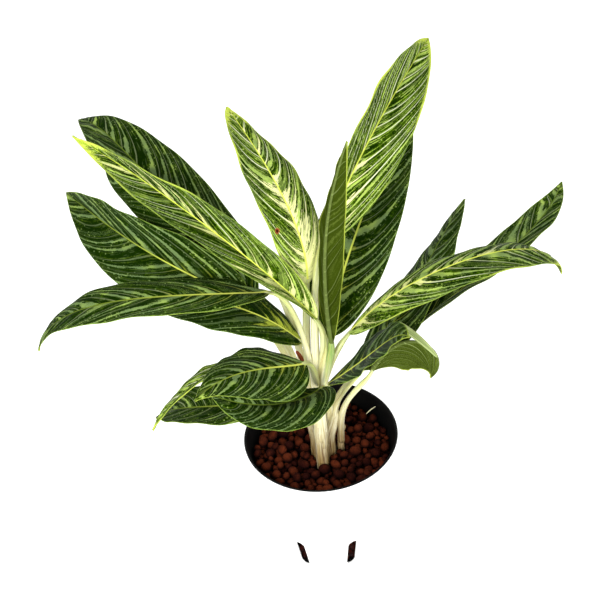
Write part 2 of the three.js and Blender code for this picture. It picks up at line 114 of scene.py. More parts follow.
LEAVES = {
    "leaf_tall_right": Leaf(
        shoot="front", start=(0.018, 0.024, 0.368), length=0.250, half_width=0.034,
        heading=(45, 55, 70), climb=(55, 20, -10), roll=(65, 45, 40),
        fold=(40, 20), light=0.52, silver=0.45, cream=0.42, sweep=1.7,
    ),
    "leaf_tall_back": Leaf(
        shoot="front", start=(0.015, 0.015, 0.262), length=0.245, half_width=0.037,
        heading=(55, 55, 65), climb=(65, 35, 5), roll=(15, 20, 10),
        fold=(5, 5), light=0.2, silver=0.75, cream=0.25, spacing=1.2,
    ),
    "leaf_upright": Leaf(
        shoot="front", start=(0.017, -0.016, 0.281), length=0.260, half_width=0.017,
        heading=(-70, -65, -60), climb=(100, 70, 65), roll=(-15, -50, -65),
        fold=(25, 60), light=-0.2, silver=0.3, cream=0.1, green=0.95,
    ),
    "leaf_top_left": Leaf(
        shoot="left", start=(0.000, 0.017, 0.327), length=0.210, half_width=0.029,
        heading=(130, 125, 105), climb=(100, 35, -10), roll=(-10, 20, 25),
        fold=(0, -5), light=0.48, silver=0.35, cream=0.95, spot=(0.0217, 0.0671),
    ),
    "leaf_broad_back": Leaf(
        shoot="left", start=(-0.045, 0.071, 0.309), length=0.300, half_width=0.038,
        heading=(150, 115, 120), climb=(15, 35, -30), roll=(15, -10, 5),
        fold=(15, 15), light=0.22, silver=0.85, cream=0.1, sweep=1.4, spacing=1.35,
    ),
    "leaf_long_left": Leaf(
        shoot="front", start=(0.005, -0.014, 0.310), length=0.300, half_width=0.024,
        heading=(170, 140, 130), climb=(55, 25, -5), roll=(-5, -35, -60),
        fold=(35, 55), light=0.38, silver=0.45, cream=0.7, sweep=1.5,
    ),
    "leaf_broad_left": Leaf(
        shoot="left", start=(-0.057, 0.046, 0.289), length=0.240, half_width=0.042,
        heading=(175, 130, 120), climb=(30, 10, -10), roll=(-35, -55, -55),
        fold=(15, 45), light=0.15, silver=0.75, cream=0.22, spacing=1.2,
    ),
    "leaf_between": Leaf(
        shoot="left", start=(-0.054, 0.054, 0.280), length=0.220, half_width=0.028,
        heading=(165, 150, 115), climb=(75, 25, -18), roll=(-85, -55, -5),
        fold=(-20, 10), light=0.15, silver=0.6, cream=0.15,
    ),
    "leaf_level_left": Leaf(
        shoot="front", start=(-0.035, -0.010, 0.343), length=0.265, half_width=0.024,
        heading=(210, 160, 150), climb=(25, 0, -70), roll=(5, 5, -25),
        fold=(-5, 0), light=0.22, silver=0.6, cream=0.15, sweep=1.7, spacing=1.25,
    ),
    "leaf_shaded_left": Leaf(
        shoot="left", start=(-0.010, 0.002, 0.270), length=0.175, half_width=0.032,
        heading=(170, 175, 150), climb=(50, 15, -30), roll=(15, -5, -20),
        fold=(-5, 0), light=0.1, silver=0.2, cream=0.5,
    ),
    "leaf_arching_front": Leaf(
        shoot="front", start=(-0.008, -0.032, 0.274), length=0.135, half_width=0.034,
        heading=(230, 200, 230), climb=(30, 35, -10), roll=(-20, -20, 15),
        fold=(-15, -15), light=0.2, silver=0.75, cream=0.25,
    ),
    "leaf_edge_on": Leaf(
        shoot="left", start=(-0.025, 0.000, 0.237), length=0.175, half_width=0.027,
        heading=(220, 210, 215), climb=(60, 10, -45), roll=(15, 35, 30),
        fold=(10, 0), light=0.6, silver=0.6, cream=0.3,
    ),
    "leaf_low_front": Leaf(
        shoot="front", start=(0.004, -0.025, 0.235), length=0.150, half_width=0.034,
        heading=(245, 215, 195), climb=(25, 25, 45), roll=(25, -25, -45),
        fold=(5, 10), light=0.15, silver=0.7, cream=0.0,
    ),
    "leaf_lowest": Leaf(
        shoot="left", start=(-0.027, -0.004, 0.209), length=0.185, half_width=0.026,
        heading=(190, 145, 120), climb=(-5, -15, -60), roll=(-10, -10, -10),
        fold=(10, 15), light=0.25, silver=0.45, cream=0.15,
    ),
    "leaf_bright_right": Leaf(
        shoot="front", start=(0.034, -0.007, 0.284), length=0.280, half_width=0.028,
        heading=(-5, 15, 50), climb=(55, 5, -70), roll=(0, -25, 20),
        fold=(-15, -15), light=0.36, silver=0.8, cream=0.5, sweep=1.2, spacing=1.15,
    ),
    "leaf_narrow_right": Leaf(
        shoot="right", start=(0.044, 0.007, 0.224), length=0.225, half_width=0.031,
        heading=(40, 65, 60), climb=(30, 15, 0), roll=(0, -40, -30),
        fold=(-15, -5), light=0.2, silver=0.9, cream=0.05, sweep=1.2, spacing=1.3,
    ),
    "leaf_far_right": Leaf(
        shoot="right", start=(0.075, 0.031, 0.230), length=0.270, half_width=0.029,
        heading=(30, 25, 70), climb=(20, 10, 0), roll=(-30, -30, 10),
        fold=(10, 15), light=0.25, silver=0.95, cream=0.15, sweep=1.15, spacing=1.3,
    ),
    "leaf_low_right": Leaf(
        shoot="right", start=(0.012, 0.002, 0.214), length=0.200, half_width=0.021,
        heading=(-20, -70, -80), climb=(45, 65, 33), roll=(-30, 37, 20),
        fold=(28, -20), light=0.05, silver=0.75, cream=0.3, sweep=1.3, spacing=1.4,
    ),
    "leaf_turned_over": Leaf(
        shoot="outer", start=(0.051, -0.032, 0.257), length=0.114, half_width=0.028,
        heading=(45, 12, -33), climb=(40, -10, -136), roll=(-70, -99, -150),
        fold=(-10, 105), curl=(0, 50), light=0.2, silver=0.4, cream=0.3, sweep=2.4, spacing=0.7,
    ),
}

# ---- camera and light ---------------------------------------------------------------------------

CAMERA_AT = (0.0, -1.0557, 1.2146)
CAMERA_YAW = math.radians(-0.4235)
CAMERA_PITCH = math.radians(-40.2135)
CAMERA_ROLL = math.radians(-5.3586)
FOCAL_SHARE = 1534.43 / 600  # focal length against the picture's width
SENSOR = 36.0


def set_camera():
    """The photograph's view: looks along a forward direction given by yaw and pitch, then turned
    about it by the roll."""
    yaw, pitch, roll = CAMERA_YAW, CAMERA_PITCH, CAMERA_ROLL
    level = math.cos(pitch)
    forward = np.array([math.sin(yaw) * level, math.cos(yaw) * level, math.sin(pitch)])
    right = np.array([math.cos(yaw), -math.sin(yaw), 0.0])
    up = np.cross(right, forward)
    turned_right = math.cos(roll) * right + math.sin(roll) * up
    turned_up = math.cos(roll) * up - math.sin(roll) * right
    data = bpy.data.cameras.new("camera")
    data.sensor_width = SENSOR
    data.lens = FOCAL_SHARE * SENSOR
    data.clip_start = 0.05
    data.clip_end = 50
    camera = bpy.data.objects.new("camera", data)
    turn = Matrix([turned_right, turned_up, -forward]).transposed().to_4x4()
    camera.matrix_world = Matrix.Translation(CAMERA_AT) @ turn
    bpy.context.collection.objects.link(camera)
    bpy.context.scene.camera = camera


class Lamp(NamedTuple):
    """A round soft light: where it stands, what it looks at, how wide it is and its power."""

    at: tuple
    target: tuple
    size: float
    power: float


LAMPS = {
    "key": Lamp(at=(-0.7, -1.3, 1.6), target=(0, 0, 0.25), size=0.8, power=32),
    "fill": Lamp(at=(0.4, -1.8, 0.7), target=(0, 0, 0.2), size=0.9, power=20),
    "back": Lamp(at=(1.1, 1.2, 1.5), target=(0, 0, 0.3), size=0.8, power=8),
}
WORLD_LIGHT = 0.6
FLOOR_GLOW = 0.5
FLOOR_HALF = 8.0
PALE_GREY = (0.9, 0.9, 0.9, 1)
WHITE = (1, 1, 1, 1)


def add_lamp(name, lamp):
    data = bpy.data.lights.new(name, "AREA")
    data.shape = "DISK"
    data.size = lamp.size
    data.energy = lamp.power
    light = bpy.data.objects.new(name, data)
    away = Vector(np.subtract(lamp.at, lamp.target))
    light.matrix_world = Matrix.Translation(lamp.at) @ away.to_track_quat("Z", "Y").to_matrix().to_4x4()
    bpy.context.collection.objects.link(light)


def set_light():
    """A pale floor that glows a little, a white world, a large soft light above the left front, a
    lower one in front and a weak one behind at the right."""
    world = bpy.data.worlds.new("studio")
    bpy.context.scene.world = world
    world.use_nodes = True
    sky = world.node_tree.nodes["Background"]
    sky.inputs["Color"].default_value = WHITE
    sky.inputs["Strength"].default_value = WORLD_LIGHT
    for name, lamp in LAMPS.items():
        add_lamp(name, lamp)
    half = FLOOR_HALF
    corners = [(-half, -half, 0), (half, -half, 0), (half, half, 0), (-half, half, 0)]
    mesh = bpy.data.meshes.new("floor")
    mesh.from_pydata(corners, [], [(0, 1, 2, 3)])
    floor = bpy.data.objects.new("floor", mesh)
    bpy.context.collection.objects.link(floor)
    material, nodes = new_material("studio floor")
    nodes.shader(base=PALE_GREY, roughness=0.9, emission=WHITE, glow=FLOOR_GLOW)
    mesh.materials.append(material)
    bpy.context.scene.view_settings.view_transform = "Standard"


# ---- meshes from arrays -------------------------------------------------------------------------

UP = np.array([0.0, 0.0, 1.0])


def grid_quads(rows, columns):
    """Faces of a grid of points in row order, with its last column joined to its first."""
    row, column = np.meshgrid(np.arange(rows - 1), np.arange(columns), indexing="ij")
    here = row * columns + column
    beside = row * columns + (column + 1) % columns
    return np.stack([here, beside, beside + columns, here + columns], axis=-1).reshape(-1, 4)


def add_piece(name, points, faces, materials, marks=None, face_materials=None, weld=False):
    """A mesh object at the origin, smooth, riding on the root. marks are named values of its
    points: one number or three for each point."""
    mesh = bpy.data.meshes.new(name)
    mesh.from_pydata(points.reshape(-1, 3), [], faces)
    for mark, values in (marks or {}).items():
        values = np.asarray(values, np.float32)
        wide = values.size == 3 * len(mesh.vertices)
        attribute = mesh.attributes.new(mark, "FLOAT_VECTOR" if wide else "FLOAT", "POINT")
        attribute.data.foreach_set("vector" if wide else "value", values.ravel())
    for material in materials:
        mesh.materials.append(material)
    if face_materials is not None:
        mesh.polygons.foreach_set("material_index", np.asarray(face_materials, np.int32))
    if weld:
        worked = bmesh.new()
        worked.from_mesh(mesh)
        bmesh.ops.remove_doubles(worked, verts=worked.verts, dist=1e-6)
        bmesh.ops.recalc_face_normals(worked, faces=worked.faces)
        worked.to_mesh(mesh)
        worked.free()
    mesh.shade_smooth()
    piece = bpy.data.objects.new(name, mesh)
    bpy.context.collection.objects.link(piece)
    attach(piece, "root")
    return piece


def capped_tube(rings):
    """Points and faces of a closed body from rings of points, shaped (rings, sides, 3): quads
    between the rings and a fan to a middle point at either end."""
    count, sides, _ = rings.shape
    ends = np.stack([rings[0].mean(axis=0), rings[-1].mean(axis=0)])
    points = np.concatenate([rings.reshape(-1, 3), ends])
    first = np.arange(sides)
    after = (first + 1) % sides
    last = (count - 1) * sides
    foot = np.stack([after, first, np.full(sides, count * sides)], axis=-1)
    head = np.stack([last + first, last + after, np.full(sides, count * sides + 1)], axis=-1)
    faces = [*grid_quads(count, sides).tolist(), *foot.tolist(), *head.tolist()]
    return points, faces


def unit(vectors):
    """The same directions, each of length 1."""
    return vectors / np.maximum(np.linalg.norm(vectors, axis=-1, keepdims=True), 1e-12)


def smooth_step(value, low, high):
    """0 below low, 1 above high and an S between them; low may be the larger."""
    share = np.clip((np.asarray(value, float) - low) / (high - low), 0, 1)
    return share * share * (3 - 2 * share)


def between(values, share):
    """The first value at a share of 0, the second at 1."""
    return values[0] + (values[1] - values[0]) * share


def around_axis(radius, turn, z):
    """Points at a radius, a turn and a height, which are stretched to one shape."""
    return np.stack(np.broadcast_arrays(radius * np.cos(turn), radius * np.sin(turn), z), axis=-1)


def run(values, t):
    """A quadratic run through a start, a handle and an end value."""
    start, handle, end = values
    return (1 - t) ** 2 * start + 2 * t * (1 - t) * handle + t**2 * end


# ---- shader nodes -------------------------------------------------------------------------------

SUBSURFACE_DEPTH = 0.003


class Nodes:
    """Adds nodes to one tree. An input is given as a number, a colour or another node's output."""

    def __init__(self, tree):
        self.tree = tree

    def add(self, kind, inputs=(), **settings):
        node = self.tree.nodes.new(kind)
        for setting, value in settings.items():
            setattr(node, setting, value)
        for place, value in dict(inputs).items():
            self.feed(node.inputs[place], value)
        return node

    def feed(self, socket, value):
        if isinstance(value, bpy.types.NodeSocket):
            self.tree.links.new(value, socket)
        else:
            socket.default_value = value

    def maths(self, operation, *values):
        node = self.add("ShaderNodeMath", enumerate(values), operation=operation)
        return node.outputs[0]

    def times(self, first, second):
        return self.maths("MULTIPLY", first, second)

    def scaled(self, value, factor, plus):
        """The value times the factor, plus a further number."""
        return self.maths("MULTIPLY_ADD", value, factor, plus)

    def swayed(self, value, noise, reach):
        """The value pushed up and down by a noise from 0 to 1, over the reach in all."""
        return self.scaled(self.maths("SUBTRACT", noise, 0.5), reach, value)

    def ease(self, value, low, high, to_low=0.0, to_high=1.0):
        """An S-shaped step from to_low at low to to_high at high."""
        inputs = {0: value, 1: low, 2: high, 3: to_low, 4: to_high}
        return self.add("ShaderNodeMapRange", inputs, interpolation_type="SMOOTHSTEP").outputs[0]

    def mix(self, share, first, second):
        return self.add("ShaderNodeMix", {0: share, 6: first, 7: second}, data_type="RGBA").outputs[2]

    def blend_numbers(self, share, first, second):
        return self.add("ShaderNodeMix", {0: share, 2: first, 3: second}, data_type="FLOAT").outputs[0]

    def vector(self, x=0.0, y=0.0, z=0.0):
        return self.add("ShaderNodeCombineXYZ", {0: x, 1: y, 2: z}).outputs[0]

    def parts(self, vector):
        return self.add("ShaderNodeSeparateXYZ", {0: vector}).outputs

    def stretch(self, vector, scale):
        return self.add("ShaderNodeMapping", {0: vector, 3: scale}).outputs[0]

    def noise(self, vector, scale=1.0, detail=2.0, roughness=0.5):
        inputs = {"Vector": vector, "Scale": scale, "Detail": detail, "Roughness": roughness}
        return self.add("ShaderNodeTexNoise", inputs, noise_dimensions="3D").outputs[0]

    def mark(self, name):
        """A named value of the mesh's points: its number, and its three numbers."""
        node = self.add("ShaderNodeAttribute", attribute_name=name, attribute_type="GEOMETRY")
        return node.outputs["Fac"], node.outputs["Vector"]

    def place(self):
        return self.add("ShaderNodeTexCoord").outputs["Object"]

    def group(self, tree, inputs):
        node = self.tree.nodes.new("ShaderNodeGroup")
        node.node_tree = tree
        for name, value in inputs.items():
            self.feed(node.inputs[name], value)
        return node.outputs

    def bump(self, height, distance):
        inputs = {"Height": height, "Distance": distance, "Strength": 1.0}
        return self.add("ShaderNodeBump", inputs).outputs[0]

    def shader(
        self, base, roughness, normal=None, specular=0.5, subsurface=0.0, radius=(1, 1, 1),
        emission=None, glow=0.0,
    ):
        """The material's Principled shader, linked to its output."""
        node = self.tree.nodes["Principled BSDF"]
        self.feed(node.inputs["Base Color"], base)
        self.feed(node.inputs["Roughness"], roughness)
        node.inputs["Specular IOR Level"].default_value = specular
        node.inputs["Subsurface Weight"].default_value = subsurface
        node.inputs["Subsurface Radius"].default_value = radius
        node.inputs["Subsurface Scale"].default_value = SUBSURFACE_DEPTH
        if normal is not None:
            self.feed(node.inputs["Normal"], normal)
        if emission is not None:
            node.inputs["Emission Color"].default_value = emission
            node.inputs["Emission Strength"].default_value = glow


def new_material(name):
    material = bpy.data.materials.new(name)
    material.use_nodes = True
    return material, Nodes(material.node_tree)


def new_group(name, inputs, outputs):
    """A shader node group with named sockets, given as {name: "Float", "Color" or "Vector"}."""
    tree = bpy.data.node_groups.new(name, "ShaderNodeTree")
    for socket, kind in inputs.items():
        tree.interface.new_socket(socket, in_out="INPUT", socket_type=f"NodeSocket{kind}")
    for socket, kind in outputs.items():
        tree.interface.new_socket(socket, in_out="OUTPUT", socket_type=f"NodeSocket{kind}")
    given = tree.nodes.new("NodeGroupInput").outputs
    results = tree.nodes.new("NodeGroupOutput").inputs
    return tree, Nodes(tree), given, results


# ---- effects that materials use -----------------------------------------------------------------


def lengthwise_streaks():
    """Fine streaks that run along a stalk, from its mark (cosine and sine of the way round, and how
    far along)."""
    tree, nodes, given, results = new_group(
        "lengthwise streaks", {"Stalk": "Vector", "Fineness": "Float"}, {"Streak": "Float"}
    )
    stretched = nodes.stretch(given["Stalk"], (1, 1, 1.1))
    streak = nodes.noise(stretched, scale=given["Fineness"], detail=4.0, roughness=0.65)
    nodes.feed(results["Streak"], nodes.ease(streak, 0.32, 0.68))
    return tree


def grain():
    """Soft blotches and fine grain on a surface, from its place in metres."""
    tree, nodes, given, results = new_group(
        "grain", {"Place": "Vector", "Blotch size": "Float", "Grain size": "Float"},
        {"Blotch": "Float", "Grain": "Float"},
    )
    for name in ("Blotch", "Grain"):
        scale = nodes.maths("DIVIDE", 1.0, given[f"{name} size"])
        cloud = nodes.noise(given["Place"], scale=scale, detail=3.0)
        nodes.feed(results[name], nodes.ease(cloud, 0.3, 0.7))
    return tree


VEIN_VALUES = (
    "Lane", "Within", "Near", "Line", "Feather", "Streak", "Half", "Across", "Reach", "Rim",
)
BLADE_FACE = {"Vein": "Float", "Blade": "Vector", "Look": "Vector", "Seed": "Float", "Tip": "Float"}
FACE_RESULTS = {"Color": "Color", "Height": "Float"}
DAPPLE_SCALE = 650.0  # scales are in lumps to the metre
CLOUD_SCALE = 60.0
MOTTLE_SCALE = 330.0
SPECKLE_SCALE = 420.0
STREAK_FINENESS = (14.0, 200.0)  # a streak's lumps to a vein, and to a metre along it
FLECK_FINENESS = (15.0, 170.0)
STRIPES_TO_LANE = 4.0
STRIPE_BREAKS = 110.0  # to a metre along the vein
BAND_AT_MARGIN = 0.06  # half a silvery band's width there, against its lane
WEDGE_SHORTEST = 0.002  # how far the cream runs out along a vein, in metres
WEDGE_LONGER = 0.017
WEDGE_AT_BASE = 0.0065
WEDGE_SLANT = 0.048  # metres that it loses for each vein's width away from the vein
RIB_HALF_WIDTH = 0.0011  # the midrib's light line on the upper face, on the under face and at the tip
RIB_UNDER_HALF_WIDTH = 0.0009
RIB_TIP_HALF_WIDTH = 0.0004
MARGIN_THIN = 0.0007  # the margin's line, how much wider its bright parts are and how it wavers
MARGIN_MORE = 0.0020
MARGIN_WAVER = 0.004
UNDER_MARGIN = (0.0012, 0.0004)  # how near the margin its line starts and is full, underneath
SPOT_RING = (0.0032, 0.0020)  # distances from its middle where a blemish's rust starts and is full
SPOT_MIDDLE = (0.0018, 0.0011)
SPOT_WAVER = 0.0012
SPOT_SCALE = 900.0


def lateral_veins():
    """Where a point of a blade lies among its lateral veins. Vein counts them along the midrib, and
    the right half is shifted by half a vein. Lane numbers the space between two veins, Within runs
    from 0 to 1 across it, Near is the distance to the closest vein and Line its number. Streak is
    noise drawn out along the veins, and Feather is the same with dapples in it. Half tells the two
    halves of each blade apart. Reach and Rim are metres from the midrib and from the margin, and
    Across is the share of the way between them."""
    tree, nodes, given, results = new_group(
        "lateral veins",
        {"Vein": "Float", "Blade": "Vector", "Seed": "Float"},
        dict.fromkeys(VEIN_VALUES, "Float"),
    )
    side, _, rim = nodes.parts(given["Blade"])
    right = nodes.maths("LESS_THAN", side, 0.0)
    vein = nodes.scaled(right, 0.5, given["Vein"])
    within = nodes.maths("FRACT", vein)
    near = nodes.maths("SUBTRACT", 0.5, nodes.maths("ABSOLUTE", nodes.maths("SUBTRACT", within, 0.5)))
    half = nodes.scaled(right, 31.7, given["Seed"])
    reach = nodes.maths("ABSOLUTE", side)
    across = nodes.maths("DIVIDE", reach, nodes.maths("ADD", reach, rim))
    drawn = nodes.noise(
        along_veins(nodes, vein, reach, half, STREAK_FINENESS), detail=3.0, roughness=0.6
    )
    dapple = nodes.noise(flattened(nodes, given["Blade"]), scale=DAPPLE_SCALE, roughness=0.6)
    feather = nodes.blend_numbers(0.5, drawn, dapple)
    lane = nodes.maths("FLOOR", vein)
    line = nodes.maths("FLOOR", nodes.maths("ADD", vein, 0.5))
    values = (lane, within, near, line, feather, drawn, half, across, reach, rim)
    for name, value in zip(VEIN_VALUES, values):
        nodes.feed(results[name], value)
    return tree


def flattened(nodes, blade):
    """A place on the blade without its distance from the margin."""
    return nodes.stretch(blade, (1, 1, 0))


def along_veins(nodes, vein, reach, half, fineness):
    """Where a noise is read so that it is drawn out along the veins."""
    return nodes.vector(nodes.times(vein, fineness[0]), nodes.times(reach, fineness[1]), half)


def random_of(nodes, *key):
    """Three random numbers from 0 to 1 that are the same wherever the key is."""
    node = nodes.add("ShaderNodeTexWhiteNoise", {"Vector": nodes.vector(*key)}, noise_dimensions="3D")
    return nodes.parts(node.outputs["Color"])


def silver_bands(nodes, veins, silver):
    """Mask of the silvery bands. Each lane between two veins has one, with a place, width and strength
    of its own. It wanders, swells and thins on its way out, runs into a line at the margin and has
    ragged edges."""
    place, width, strength = random_of(nodes, veins["Lane"], veins["Half"], 1.0)
    lane = nodes.times(veins["Lane"], 5.3)
    slow = nodes.vector(lane, nodes.times(veins["Across"], 2.2), veins["Half"])
    quick = nodes.vector(lane, nodes.times(veins["Across"], 4.5), veins["Half"])
    wander = nodes.noise(slow)
    swell = nodes.noise(quick, scale=1.7)
    middle = nodes.scaled(place, 0.3, 0.17)
    middle = nodes.scaled(wander, 0.4, middle)
    widest = nodes.scaled(width, 0.13, 0.09)
    half_band = nodes.blend_numbers(veins["Across"], widest, BAND_AT_MARGIN)
    half_band = nodes.times(half_band, nodes.ease(swell, 0.3, 0.6, 0.45, 1.25))
    off = nodes.maths("ABSOLUTE", nodes.maths("SUBTRACT", veins["Within"], middle))
    edge = nodes.maths("SUBTRACT", off, half_band)
    edge = nodes.swayed(edge, veins["Feather"], -0.42)
    band = nodes.ease(edge, 0.025, -0.025)
    shown = nodes.ease(nodes.maths("ADD", strength, silver), 0.8, 1.0)
    return nodes.times(band, shown)


def fine_stripes(nodes, veins):
    """Mask of the broken fine lines between the veins: four to a lane, each with its own place and
    strength, showing only where two noises drawn along the veins let it."""
    count = nodes.times(nodes.maths("ADD", veins["Lane"], veins["Within"]), STRIPES_TO_LANE)
    number = nodes.maths("FLOOR", count)
    place, strength, _ = random_of(nodes, number, veins["Half"], 5.0)
    middle = nodes.scaled(place, 0.5, 0.25)
    off = nodes.maths("ABSOLUTE", nodes.maths("SUBTRACT", nodes.maths("FRACT", count), middle))
    line = nodes.ease(nodes.swayed(off, veins["Feather"], 0.9), 0.13, 0.03)
    drawn = along_veins(nodes, number, veins["Reach"], veins["Half"], (3.7, STRIPE_BREAKS))
    broken = nodes.noise(drawn, detail=1.0)
    shown = nodes.ease(nodes.scaled(strength, 0.35, broken), 0.55, 0.75)
    return nodes.times(line, shown)


def flecks(nodes, veins):
    """Mask of short light strokes that lie along the veins."""
    vein = nodes.maths("ADD", veins["Lane"], veins["Within"])
    drawn = along_veins(nodes, vein, veins["Reach"], veins["Half"], FLECK_FINENESS)
    return nodes.ease(nodes.noise(drawn, roughness=0.6), 0.57, 0.62)


def vein_lines(nodes, veins, widest, narrowest):
    """Mask of the fine light lines on the veins, which thin out towards the margin."""
    bright, _, _ = random_of(nodes, veins["Line"], veins["Half"], 7.0)
    width = nodes.blend_numbers(veins["Across"], widest, narrowest)
    ragged = nodes.swayed(veins["Near"], veins["Feather"], 0.06)
    line = nodes.ease(ragged, width, nodes.times(width, 0.4))
    line = nodes.times(line, nodes.scaled(bright, 0.35, 0.65))
    return nodes.times(line, nodes.ease(veins["Across"], 1.2, 0.7))


def cream_wedges(nodes, veins, cream, near_base):
    """Mask of the cream that runs from the midrib a little way out along each vein, in wedges, and
    farther out near the base."""
    chance, _, _ = random_of(nodes, veins["Line"], veins["Half"], 3.0)
    length = nodes.scaled(nodes.maths("POWER", chance, 2.0), WEDGE_LONGER, WEDGE_SHORTEST)
    length = nodes.scaled(near_base, WEDGE_AT_BASE, length)
    length = nodes.times(length, nodes.scaled(cream, 1.0, 0.05))
    out = nodes.scaled(veins["Near"], WEDGE_SLANT, veins["Reach"])
    out = nodes.maths("DIVIDE", out, length)
    out = nodes.swayed(out, veins["Streak"], -4.4)
    return nodes.times(nodes.ease(out, 1.1, 0.75, 0.0, 0.95), nodes.ease(cream, 0.1, 0.7))


def speckles(nodes, blade, veins):
    """Mask of small light dots, most of them in the outer part of the blade."""
    inputs = {"Vector": flattened(nodes, blade), "Scale": SPECKLE_SCALE, "Randomness": 0.9}
    spots = nodes.add("ShaderNodeTexVoronoi", inputs)
    chosen, _, _ = nodes.parts(spots.outputs["Color"])
    few = nodes.ease(veins["Across"], 0.35, 0.85, 0.97, 0.65)
    dot = nodes.ease(spots.outputs["Distance"], 0.42, 0.18)
    return nodes.times(dot, nodes.maths("GREATER_THAN", chosen, few))


# ---- colours, all linear ------------------------------------------------------------------------

DARK_GREEN = (0.005, 0.018, 0.000, 1)
FRESH_GREEN = (0.085, 0.185, 0.002, 1)
FINE_STRIPE = (0.330, 0.500, 0.050, 1)
DULL_SILVER = (0.155, 0.235, 0.085, 1)
BRIGHT_SILVER = (0.480, 0.650, 0.120, 1)
CREAM_LINE = (0.950, 1.000, 0.650, 1)
DULL_LINE = (0.150, 0.230, 0.070, 1)
DULL_MARGIN = (0.150, 0.250, 0.040, 1)
CREAM_SPREAD = (0.880, 0.890, 0.400, 1)
YELLOW_SPREAD = (0.420, 0.490, 0.050, 1)
MIDRIB_DULL = (0.110, 0.170, 0.020, 1)
MIDRIB_BASE = (0.800, 0.850, 0.150, 1)
MIDRIB_TIP = (0.600, 0.720, 0.070, 1)
MARGIN = (0.620, 0.740, 0.100, 1)
UNDER_DARK = (0.030, 0.048, 0.002, 1)
UNDER_LIGHT = (0.120, 0.165, 0.026, 1)
UNDER_LINE = (0.300, 0.380, 0.120, 1)
IVORY = (0.820, 0.740, 0.380, 1)
PALE_IVORY = (0.980, 0.960, 0.700, 1)
YELLOW_GREEN = (0.720, 0.780, 0.220, 1)
STALK_GREEN = (0.150, 0.330, 0.050, 1)
SHEATH_BROWN = (0.110, 0.050, 0.018, 1)
TAN_STREAK = (0.370, 0.240, 0.080, 1)
ROLLED_OLIVE = (0.140, 0.200, 0.050, 1)
ROLLED_PALE = (0.500, 0.580, 0.240, 1)
RUST = (0.300, 0.070, 0.025, 1)
RUST_DARK = (0.045, 0.012, 0.005, 1)
CLAY_DEEP = (0.028, 0.004, 0.002, 1)
CLAY_LIGHT = (0.125, 0.023, 0.007, 1)
CLAY_PIT = (0.012, 0.002, 0.002, 1)
# painted shade for the pebbles' lower sides and for the packed core
CLAY_SHADE = (0.006, 0.001, 0.001, 1)
POT_WHITE = (0.860, 0.860, 0.850, 1)
POT_WHITE_WORN = (0.800, 0.800, 0.780, 1)
POT_BLACK = (0.003, 0.003, 0.003, 1)
POT_BLACK_WORN = (0.007, 0.006, 0.006, 1)


